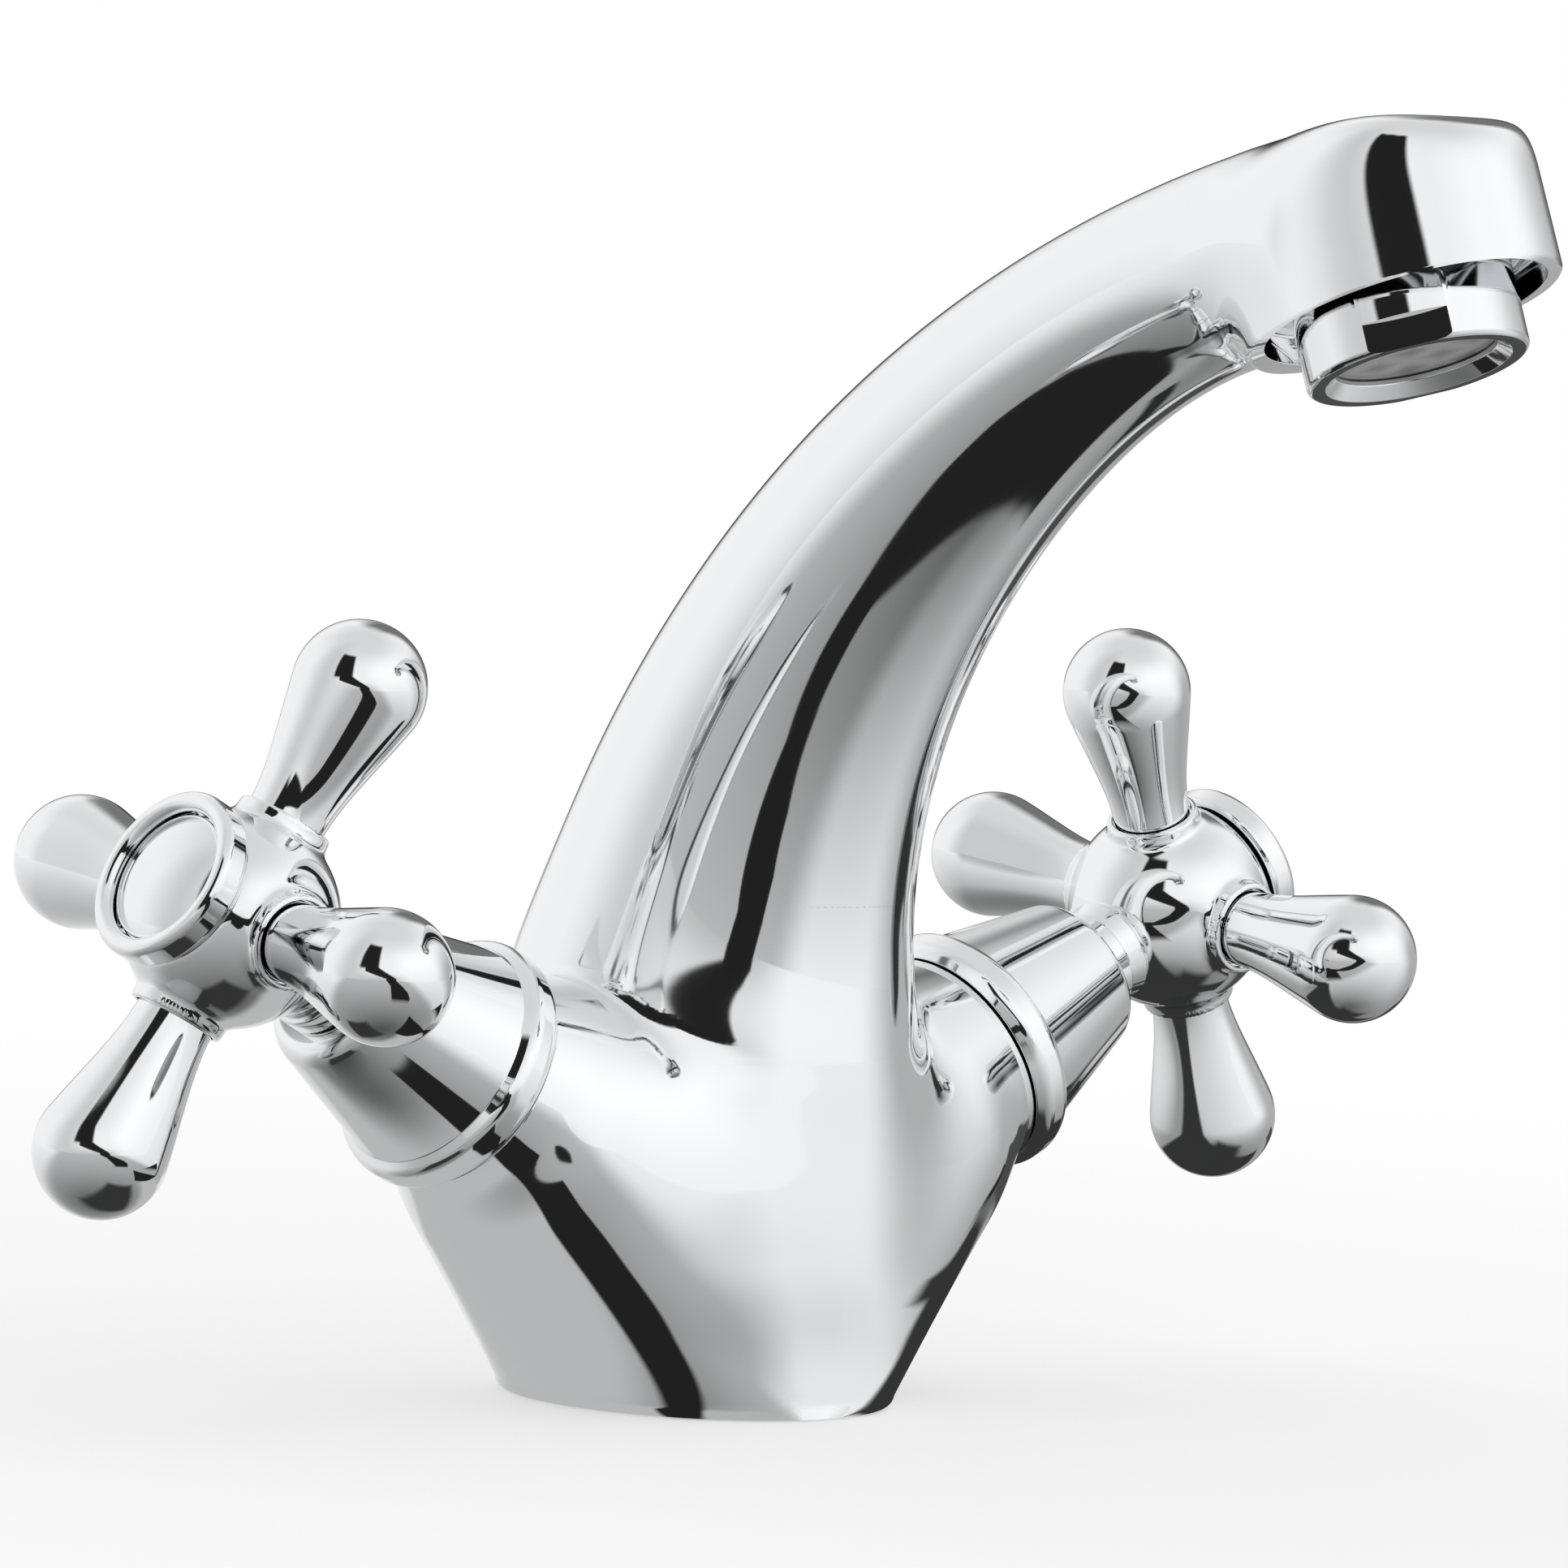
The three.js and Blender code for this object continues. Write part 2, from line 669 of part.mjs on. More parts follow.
function spindle() {
  const oringSeat = oringCentre - oringRadius - grooveDepthGap;
  const oringHalf = oringRadius + slipGap;
  const stem = turned([
    [0, footLow],
    [discRadius, footLow],
    [discRadius, footTop],
    [spindleRadius, footTop],
    [spindleRadius, -oringDepth - oringHalf],
    [oringSeat, -oringDepth - oringHalf],
    [oringSeat, -oringDepth + oringHalf],
    [spindleRadius, -oringDepth + oringHalf],
    [spindleRadius, clipLow - grooveGap],
    [clipGrooveRadius, clipLow - grooveGap],
    [clipGrooveRadius, clipTop + grooveGap],
    [splineRoot, clipTop + grooveGap],
    [splineRoot, -splineEnd],
    [screwBore, -splineEnd],
    [screwBore, -splineEnd - screwLength],
    [0, -splineEnd - screwLength],
  ]);
  const teeth = splineSolid(0, splineLow, -splineEnd);
  const screwHole = toSolid(rod(screwBore, -splineEnd - screwLength, cutOver - splineEnd));
  const tongueLow = footLow - tongueHeight + grooveDepthGap;
  const tongueLength = 2 * (discRadius - tongueEnd);
  const tongue = toSolid(box(tongueWidth, tongueLength, tongueLow, footLow + joinOver));
  return toSolid(stem).add(teeth).add(tongue).subtract(screwHole);
}

function spindleOring() {
  const sides = 6;
  const profile = Array.from({ length: sides + 1 }, (_, step) => {
    const angle = (fullTurn * (step % sides)) / sides;
    return [oringCentre + oringRadius * Math.cos(angle), oringRadius * Math.sin(angle) - oringDepth];
  });
  return turned(profile, sealSides);
}

function circlip() {
  const inner = clipGrooveRadius + grooveDepthGap;
  const shape = new THREE.Shape()
    .absarc(0, 0, clipRadius, clipOpening / 2, fullTurn - clipOpening / 2, false)
    .absarc(0, 0, inner, fullTurn - clipOpening / 2, clipOpening / 2, true);
  const extrude = { depth: clipHeight, bevelEnabled: false, curveSegments: 8 };
  return new THREE.ExtrudeGeometry(shape, extrude).translate(0, 0, clipLow);
}

// ---- Bell shroud ----
function bell() {
  const low = seatGap - shoulderDepth;
  const high = -bellTopDepth;
  const boss = neckRadius + slipGap;
  const bore = noseRadius + slipGap;
  const bead = [0.25, 0.5, 0.75].map((share) => {
    const angle = Math.PI * (share - 0.5);
    return [shoulderRadius + beadBulge * Math.cos(angle), low + beadHeight * share];
  });
  const corner = [0, 0.5, 1].map((share) => {
    const angle = (Math.PI / 2) * share;
    return [
      bellTopRadius - bellRounding * (1 - Math.cos(angle)),
      high - bellRounding * (1 - Math.sin(angle)),
    ];
  });
  const ceiling = neckTop + seatGap;
  return turned([
    [shoulderRadius - bellWall, low],
    [shoulderRadius, low],
    ...bead,
    [shoulderRadius, low + beadHeight],
    ...corner,
    [bore, high],
    [bore, ceiling],
    [boss, ceiling],
    [boss, ceiling - bellBossLength],
    [bellTopRadius, ceiling - bellBossLength],
    [shoulderRadius - bellWall, low + beadHeight],
    [shoulderRadius - bellWall, low],
  ]);
}

// ---- Cross handle ----
const armSocketFloor = armBossReach - armSocketDepth;
const armStubStart = indexSkirtRadius + slipGap;
const screwSeat = screwFloor - splineEnd + 2 * seatGap;

// Turns +Z to a direction across the spindle.
function acrossFrame(angle) {
  return new THREE.Matrix4()
    .makeRotationZ(angle)
    .multiply(new THREE.Matrix4().makeRotationY(Math.PI / 2));
}

function handleHub(side) {
  const low = seatGap - bellTopDepth;
  const from = -Math.acos((collarRadius - collarEdge) / hubRadius);
  const to = Math.asin(hubFaceHeight / hubRadius);
  const rows = 7;
  const ball = Array.from({ length: rows + 1 }, (_, row) => {
    const angle = from + ((to - from) * row) / rows;
    return [hubRadius * Math.cos(angle), hubRadius * Math.sin(angle)];
  });
  const blank = turned([
    [0, low],
    [collarRadius, low],
    [collarRadius, low + collarHeight],
    [collarRadius - collarStep, low + collarHeight + collarEdge],
    ...ball,
    [0, hubFaceHeight],
  ]);
  let hub = toSolid(blank);
  const capRecess = indexSkirtRadius + slipGap;
  const recessFloor = hubFaceHeight - indexSkirtLength - 2 * seatGap;
  const armAngles = [0, 1, 2, 3].map((quarter) => side * (armTwist + (quarter * Math.PI) / 2));
  for (const angle of armAngles) {
    hub = hub.add(toSolid(rod(armBossRadius, armStubStart, armBossReach), acrossFrame(angle)));
  }
  for (const angle of armAngles) {
    const root = rod(armRootRadius + slipGap, armSocketFloor, armBossReach + cutOver);
    const stub = rod(armStubRadius + slipGap, armStubStart - seatGap, armSocketFloor + joinOver);
    const socket = toSolid(root).add(toSolid(stub));
    hub = hub.subtract(socket.transform(acrossFrame(angle).elements));
  }
  const cuts = [
    rod(capRecess, recessFloor, hubFaceHeight + cutOver, castingSides),
    rod(screwHeadRadius + slipGap, screwSeat, recessFloor + cutOver),
    rod(screwRadius + slipGap, -splineEnd, screwSeat + cutOver),
    rod(clipRadius + slipGap, low - cutOver, clipTop + seatGap, castingSides),
  ];
  for (const cut of cuts) hub = hub.subtract(toSolid(cut));
  return hub.subtract(splineSolid(runningGap, clipTop, seatGap - splineEnd));
}

function handleScrew() {
  const seat = screwSeat + seatGap;
  const top = seat + screwHeadHeight;
  const end = seatGap - splineEnd - screwLength;
  const profile = [
    [0, end],
    [screwRadius, end],
    [screwRadius, seat],
    [screwHeadRadius, seat],
    [screwHeadRadius, top],
    [0, top],
  ];
  const screw = turned(profile, smallSides);
  const slot = box(screwSlotWidth, 4 * screwHeadRadius, top - screwSlotDepth, top + cutOver);
  return toSolid(screw).subtract(toSolid(slot));
}

// One teardrop arm along +Z: threaded stub, root, swelling flank and ball end.
function handleArm() {
  const rootLow = armSocketFloor + seatGap;
  const behind = new THREE.Vector2(-Math.sin(armBallMeet), -Math.cos(armBallMeet));
  const flankEnd = new THREE.Vector2(
    armBallRadius * Math.cos(armBallMeet),
    armBallReach - armBallRadius * Math.sin(armBallMeet),
  );
  const flankLine = new THREE.CubicBezierCurve(
    new THREE.Vector2(armRootRadius, rootLow),
    new THREE.Vector2(armRootRadius, rootLow + armRootPull),
    behind.multiplyScalar(armBallPull).add(flankEnd),
    flankEnd,
  );
  const flankPoints = flankLine.getPoints(4).map((point) => [point.x, point.y]);
  const rows = 4;
  const ball = Array.from({ length: rows }, (_, row) => {
    const angle = -armBallMeet + ((Math.PI / 2 + armBallMeet) * (row + 1)) / rows;
    const radius = row === rows - 1 ? 0 : armBallRadius * Math.cos(angle);
    return [radius, armBallReach + armBallRadius * Math.sin(angle)];
  });
  return turned(
    [
      [0, armStubStart],
      [armStubRadius, armStubStart],
      [armStubRadius, rootLow],
      ...flankPoints,
      ...ball,
    ],
    smallSides,
  );
}

const ringLow = hubFaceHeight + seatGap;
const ledgeTop = ringLow + indexLedge;

function indexRing() {
  const top = ringLow + indexRingHeight;
  const inner = buttonRadius + slipGap;
  const rounding = (indexRingRadius - inner) / 2;
  const crest = inner + rounding;
  const skirtInner = indexSkirtRadius - indexSkirtWall;
  return turned([
    [skirtInner, ringLow - indexSkirtLength],
    [indexSkirtRadius, ringLow - indexSkirtLength],
    [indexSkirtRadius, ringLow],
    [indexRingRadius, ringLow],
    [indexRingRadius, top - rounding],
    [crest, top],
    [inner, top - rounding],
    [inner, ledgeTop],
    [skirtInner, ledgeTop],
    [skirtInner, ringLow - indexSkirtLength],
  ]);
}

function indexButton() {
  const low = ledgeTop + seatGap;
  const domeRadius = (buttonRadius ** 2 + buttonDome ** 2) / (2 * buttonDome);
  const half = Math.asin(buttonRadius / domeRadius);
  const rows = 3;
  const dome = Array.from({ length: rows + 1 }, (_, row) => {
    const angle = half * (1 - row / rows);
    const height = domeRadius * (Math.cos(angle) - Math.cos(half));
    return [row === rows ? 0 : domeRadius * Math.sin(angle), low + buttonEdge + height];
  });
  return turned([[0, low], [buttonRadius, low], ...dome]);
}

// ---- Aerator, in the outlet's frame ----
const threadLow = recessDepth - seatGap;
const threadTop = recessDepth + aeratorThreadLength;
const lipTop = aeratorLipHeight - aeratorDrop;

function aeratorHousing() {
  const throat = aeratorBore - aeratorLip;
  const barrel = turned([
    [throat + throatFlare, -aeratorDrop],
    [aeratorRadius - aeratorEdge, -aeratorDrop],
    [aeratorRadius, aeratorEdge - aeratorDrop],
    [aeratorRadius, threadLow],
    [aeratorThreadRadius, threadLow],
    [aeratorThreadRadius, threadTop],
    [aeratorBore, threadTop],
    [aeratorBore, lipTop],
    [throat, lipTop],
    [throat, lipTop - throatHeight],
    [throat + throatFlare, -aeratorDrop],
  ]);
  const blockWidth = aeratorRadius;
  const reach = aeratorRadius - flatSagitta + blockWidth / 2;
  const middle = (flatHeight - cutOver) / 2 - aeratorDrop;
  let housing = toSolid(barrel);
  for (const heading of [flatHeading, flatHeading + Math.PI]) {
    const block = new THREE.BoxGeometry(blockWidth, 4 * aeratorRadius, flatHeight + cutOver);
    housing = housing.subtract(toSolid(block.translate(reach, 0, middle).rotateZ(heading)));
  }
  return housing;
}

const screenRadius = aeratorBore - slipGap;

function aeratorScreen() {
  const low = lipTop + seatGap;
  const high = low + screenHeight;
  let screen = toSolid(rod(screenRadius, low, high, sealSides));
  for (const [radius, count] of screenRings) {
    for (let hole = 0; hole < count; hole++) {
      const angle = (fullTurn * hole) / count;
      const cut = rod(screenHoleRadius, low - cutOver, high + cutOver, 6);
      cut.translate(radius * Math.cos(angle), radius * Math.sin(angle), 0);
      screen = screen.subtract(toSolid(cut));
    }
  }
  return screen;
}

function aeratorInsert() {
  const low = lipTop + screenHeight + 2 * seatGap;
  const high = threadTop - insertTopInset;
  const cupRadius = screenRadius - insertWall;
  const cuts = [
    rod(cupRadius, low - cutOver, insertPlateLow, sealSides),
    rod(cupRadius, insertPlateHigh, high + cutOver, sealSides),
  ];
  for (let hole = 0; hole < insertHoles; hole++) {
    const angle = (fullTurn * hole) / insertHoles;
    const cut = rod(insertHoleRadius, insertPlateLow - cutOver, insertPlateHigh + cutOver, 6);
    cuts.push(
      cut.translate(insertHoleCircle * Math.cos(angle), insertHoleCircle * Math.sin(angle), 0),
    );
  }
  let insert = toSolid(rod(screenRadius, low, high, sealSides));
  for (const cut of cuts) insert = insert.subtract(toSolid(cut));
  return insert;
}

function aeratorWasher() {
  const low = threadTop + seatGap;
  const outer = aeratorThreadRadius - slipGap;
  return ring(aeratorBore - washerLap, outer, low, low + washerHeight, sealSides);
}

function baseSeal() {
  return ring(sealInner, sealOuter, 0, sealHeight);
}

// ---- Assembly ----
function piece(name, shape, material) {
  const geometry = shape.isBufferGeometry ? shape : toGeometry(shape);
  const mesh = new THREE.Mesh(geometry, material);
  mesh.name = name;
  return mesh;
}

function placed(frame, pieces) {
  const holder = new THREE.Group();
  frame.decompose(holder.position, holder.quaternion, holder.scale);
  holder.add(...pieces);
  return holder;
}

const armNames = ["up", "front", "down", "back"];

function valveAndHandle(name, side) {
  const arms = armNames.map((armName, quarter) => {
    const arm = piece(`${name}_arm_${armName}`, handleArm(), chrome());
    const angle = side * (armTwist + (quarter * Math.PI) / 2);
    return placed(acrossFrame(angle), [arm]);
  });
  return placed(valveFrame(side), [
    piece(`${name}_valve_body`, valveBody(), brass()),
    piece(`${name}_bonnet_seal`, bonnetSeal(), rubber()),
    piece(`${name}_seat_gasket`, seatGasket(), rubber()),
    piece(`${name}_fixed_disc`, fixedDisc(), ceramic()),
    piece(`${name}_moving_disc`, movingDisc(), ceramic()),
    piece(`${name}_spindle`, spindle(), brass()),
    piece(`${name}_spindle_oring`, spindleOring(), rubber()),
    piece(`${name}_circlip`, circlip(), steel()),
    piece(`${name}_bell`, bell(), chrome()),
    piece(`${name}_handle_hub`, handleHub(side), chrome()),
    piece(`${name}_handle_screw`, handleScrew(), steel()),
    piece(`${name}_index_ring`, indexRing(), chrome()),
    piece(`${name}_index_button`, indexButton(), chrome()),
    ...arms,
  ]);
}

const aerator = placed(outletFrame, [
  piece("aerator_housing", aeratorHousing(), chrome()),
  piece("aerator_screen", aeratorScreen(), plastic()),
  piece("aerator_insert", aeratorInsert(), plastic()),
  piece("aerator_washer", aeratorWasher(), rubber()),
]);

const faucet = new THREE.Group();
faucet.add(
  piece("body_casting", bodyCasting(), chrome()),
  piece("base_seal", baseSeal(), rubber()),
  aerator,
  valveAndHandle("hot", -1),
  valveAndHandle("cold", 1),
);

export default faucet;
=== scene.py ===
import bpy
import numpy as np
from mathutils import Matrix
from math import radians, sin, cos, tan, pi


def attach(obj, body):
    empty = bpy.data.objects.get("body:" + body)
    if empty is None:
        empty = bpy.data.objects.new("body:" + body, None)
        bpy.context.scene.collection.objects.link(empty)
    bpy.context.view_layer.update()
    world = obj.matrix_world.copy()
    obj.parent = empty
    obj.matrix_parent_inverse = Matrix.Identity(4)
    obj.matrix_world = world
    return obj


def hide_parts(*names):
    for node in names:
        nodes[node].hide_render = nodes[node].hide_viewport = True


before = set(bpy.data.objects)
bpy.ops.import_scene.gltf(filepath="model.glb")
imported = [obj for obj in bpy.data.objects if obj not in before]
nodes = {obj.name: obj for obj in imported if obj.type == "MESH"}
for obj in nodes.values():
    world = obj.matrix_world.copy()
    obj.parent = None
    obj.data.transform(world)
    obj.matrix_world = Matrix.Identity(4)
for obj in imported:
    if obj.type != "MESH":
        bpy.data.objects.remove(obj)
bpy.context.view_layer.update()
print("frame loaded:", len(nodes), "nodes")

mm = 0.001
fullTurn = 2 * pi

# where things are, in mm and degrees: foot's centre on the deck, spout towards -Y, hot side at -X
layout = {
    "handleSpan": 76.5,
    "handleHeight": 59.0,
    "valveRise": 27.2,
    "outletReach": 109.4,
    "outletHeight": 137.1,
    "outletTilt": 22.2,
}


def valvePlace(side):
    # rows: up across the valve, sideways, outward along it; then the handle's centre
    rise = radians(layout["valveRise"])
    axes = np.array([
        [-side * sin(rise), 0, cos(rise)],
        [0, -side, 0],
        [side * cos(rise), 0, sin(rise)],
    ])
    return axes, np.array([side * layout["handleSpan"], 0, layout["handleHeight"]])


def outletPlace():
    # rows: +X, backward in the rim's plane, up into the head; then the rim's centre
    tilt = radians(layout["outletTilt"])
    axes = np.array([[1, 0, 0], [0, cos(tilt), -sin(tilt)], [0, sin(tilt), cos(tilt)]])
    return axes, np.array([0, -layout["outletReach"], layout["outletHeight"]])


def moved(points, place):
    # a place is three axes as rows and an origin
    return points @ place[0] + place[1]


def unit(ways):
    # every direction divided by its own length
    return ways / np.linalg.norm(ways, axis=-1, keepdims=True)


def addObject(name, data):
    thing = bpy.data.objects.new(name, data)
    bpy.context.scene.collection.objects.link(thing)
    return thing


def meshFrom(name, points, faces, normals=None):
    mesh = bpy.data.meshes.new(name)
    mesh.from_pydata((points * mm).tolist(), [], faces)
    mesh.update()
    mesh.shade_smooth()
    if normals is not None:
        mesh.normals_split_custom_set_from_vertices(normals.tolist())
    return addObject(name, mesh)


def skinFaces(rows, columns, loop, flip):
    # quads between neighbouring rows, closed round the columns; a loop joins its last row to its
    # first, and any other skin ends in a fan to the pole vertices that follow the grid
    row = np.arange(rows if loop else rows - 1)[:, None]
    column = np.arange(columns)[None, :]
    after = (column + 1) % columns
    a = row * columns + column
    b = row * columns + after
    c = (row + 1) % rows * columns + after
    d = (row + 1) % rows * columns + column
    quads = np.stack([a, b, c, d], -1).reshape(-1, 4)
    if flip:
        quads = quads[:, ::-1]
    faces = quads.tolist()
    if not loop:
        column, after = column[0], after[0]
        low = np.stack([after, column, np.full(columns, rows * columns)], -1)
        last = (rows - 1) * columns
        high = np.stack([last + column, last + after, np.full(columns, rows * columns + 1)], -1)
        caps = np.concatenate([low, high])
        faces += (caps[:, ::-1] if flip else caps).tolist()
    return faces


def skinVolume(grid, loop, poles):
    # signed volume of the skin, to know which way its faces point
    after = np.roll(grid, -1, axis=1)
    first = grid if loop else grid[:-1]
    nextRow = np.roll(grid, -1, axis=0) if loop else grid[1:]
    nextBoth = np.roll(after, -1, axis=0) if loop else after[1:]
    across = after if loop else after[:-1]
    volume = (np.cross(first, across) * nextBoth).sum() + (np.cross(first, nextBoth) * nextRow).sum()
    if not loop:
        volume += (np.cross(after[0], grid[0]) * poles[0]).sum()
        volume += (np.cross(grid[-1], after[-1]) * poles[1]).sum()
    return volume


def skinPiece(name, grid, normals=None, poles=None, poleNormals=None):
    loop = poles is None
    rows, columns = grid.shape[:2]
    points = grid.reshape(-1, 3)
    flip = skinVolume(grid, loop, poles) < 0
    if not loop:
        points = np.concatenate([points, poles])
    if normals is not None:
        normals = normals.reshape(-1, 3)
        if not loop:
            normals = np.concatenate([normals, poleNormals])
    return meshFrom(name, points, skinFaces(rows, columns, loop, flip), normals)


def roundedProfile(corners, closed, steps):
    # (radius, height, rounding) corners, anticlockwise in section: each becomes an arc that touches both
    # its sides, from rounding*tan(turn/2) before the corner, and the outward normal turns evenly along it
    corners = np.array(corners, float)
    at, rounding = corners[:, :2], corners[:, 2]
    if not closed:
        at = np.concatenate([[2 * at[0] - at[1]], at, [2 * at[-1] - at[-2]]])
        rounding = np.concatenate([[0], rounding, [0]])
    into = unit(at - np.roll(at, 1, axis=0))
    out = np.roll(into, -1, axis=0)
    turn = np.arctan2(into[:, 0] * out[:, 1] - into[:, 1] * out[:, 0], (into * out).sum(1))
    side = np.where(turn < 0, -1.0, 1.0)
    reach = rounding * np.tan(np.abs(turn) / 2)
    right = np.stack([into[:, 1], -into[:, 0]], 1)
    centre = at - into * reach[:, None] - right * (side * rounding)[:, None]
    angle = turn[:, None] * np.linspace(0, 1, steps + 1)
    spun = np.stack([
        right[:, :1] * np.cos(angle) - right[:, 1:] * np.sin(angle),
        right[:, :1] * np.sin(angle) + right[:, 1:] * np.cos(angle),
    ], -1)
    points = centre[:, None] + spun * (side * rounding)[:, None, None]
    if not closed:
        points, spun = points[1:-1], spun[1:-1]
    return points.reshape(-1, 2), spun.reshape(-1, 2)


def curveProfile(points):
    # a finely stepped curve, with normals square to its own run
    run = unit(np.gradient(points, axis=0))
    return points, np.stack([run[:, 1], -run[:, 0]], 1)


def joinedProfile(*parts):
    return [np.concatenate(each) for each in zip(*parts)]


hair = 0.05  # the least rounding, for a corner that looks sharp


def steppedHole(low, steps):
    # corners of a round hole from its floor up, with a (radius, top) for each step
    corners = [(0, low, 0)]
    for wide, top in steps:
        corners += [(wide, low, hair), (wide, top, hair)]
        low = top
    return corners


def turnedPiece(name, profile, place, columns, stretch=0.0):
    # every profile point is carried round the axis; stretch lengthens the ring along its second axis,
    # and points on top of one another are dropped
    points, normals = profile
    angle = np.arange(columns) * fullTurn / columns
    around = np.stack([np.cos(angle), np.sin(angle)], -1)
    poled = points[0, 0] < 1e-6
    if poled:
        poles = np.array([[0, 0, points[0, 1]], [0, 0, points[-1, 1]]])
        points, normals = points[1:-1], normals[1:-1]
    keep = np.ones(len(points), bool)
    keep[1:] = np.linalg.norm(np.diff(points, axis=0), axis=1) > 1e-5
    points, normals = points[keep], normals[keep]
    height = np.broadcast_to(points[:, None, 1:], (len(points), columns, 1))
    grid = np.concatenate([points[:, None, :1] * around[None], height], -1)
    grid[..., 1] += stretch * around[None, :, 1] * (points[:, None, 0] > 0)
    lift = np.broadcast_to(normals[:, None, 1:], height.shape)
    facing = np.concatenate([normals[:, None, :1] * around[None], lift], -1)
    if poled:
        poleNormals = np.array([[0, 0, -1], [0, 0, 1.0]]) @ place[0]
        return skinPiece(name, moved(grid, place), facing @ place[0], moved(poles, place), poleNormals)
    return skinPiece(name, moved(grid, place), facing @ place[0])


def carve(piece, cutters, added=()):
    # booleans with closed pieces, which are used up: the added ones first, then the cutters
    steps = [(other, "UNION") for other in added] + [(other, "DIFFERENCE") for other in cutters]
    for other, operation in steps:
        modifier = piece.modifiers.new("carve", "BOOLEAN")
        modifier.operation = operation
        modifier.solver = "MANIFOLD"
        modifier.object = other
    bpy.context.view_layer.update()
    graph = bpy.context.evaluated_depsgraph_get()
    carved = bpy.data.meshes.new_from_object(piece.evaluated_get(graph))
    old = piece.data
    piece.modifiers.clear()
    piece.data = carved
    carved.name = old.name
    bpy.data.meshes.remove(old)
    for other, _ in steps:
        mesh = other.data
        bpy.data.objects.remove(other)
        bpy.data.meshes.remove(mesh)


def markFaces(piece, value):
    mark = piece.data.attributes.new("skin", "INT", "FACE")
    mark.data.foreach_set("value", np.full(len(piece.data.polygons), value, np.int32))


def carvedNormals(piece, slopeAt, sharpAngle=35.0):
    # faces of the solved skin take the field's own slope, cut faces are smooth up to an angle
    mesh = piece.data
    solved = np.zeros(len(mesh.polygons), np.int32)
    mesh.attributes["skin"].data.foreach_get("value", solved)
    mesh.shade_smooth()
    mesh.set_sharp_from_angle(angle=radians(sharpAngle))
    corners = np.zeros(len(mesh.loops) * 3, np.float32)
    mesh.corner_normals.foreach_get("vector", corners)
    corners = corners.reshape(-1, 3)
    vertexOf = np.zeros(len(mesh.loops), np.int32)
    mesh.loops.foreach_get("vertex_index", vertexOf)
    sizes = np.zeros(len(mesh.polygons), np.int32)
    mesh.polygons.foreach_get("loop_total", sizes)
    points = np.zeros(len(mesh.vertices) * 3, np.float32)
    mesh.vertices.foreach_get("co", points)
    slope = slopeAt(points.reshape(-1, 3).astype(float) / mm)
    onSkin = np.repeat(solved, sizes) == 1
    corners[onSkin] = slope[vertexOf[onSkin]]
    mesh.attributes.remove(mesh.attributes["sharp_edge"])
    mesh.normals_split_custom_set(corners.tolist())


def smoothStep(x):
    # 0 to 1 with level, unbent ends: 6x^5 - 15x^4 + 10x^3
    x = np.clip(x, 0, 1)
    return x * x * x * (x * (6 * x - 15) + 10)


def softMin(a, b, width):
    # the nearer of two surfaces, less a sixth of the cube of their closeness within the width, so that
    # even the curvature stays continuous
    near = np.maximum(width - np.abs(a - b), 0) / width
    return np.minimum(a, b) - near**3 * width / 6


def softMax(a, b, width):
    return -softMin(-a, -b, width)


def fieldSlope(field, points):
    # the field's steepest direction, by differences a hundredth of a millimetre to each side
    steps = 0.01 * np.eye(3)
    rise = np.stack([field(points + step) - field(points - step) for step in steps], 1)
    return rise / np.maximum(np.linalg.norm(rise, axis=1, keepdims=True), 1e-9)


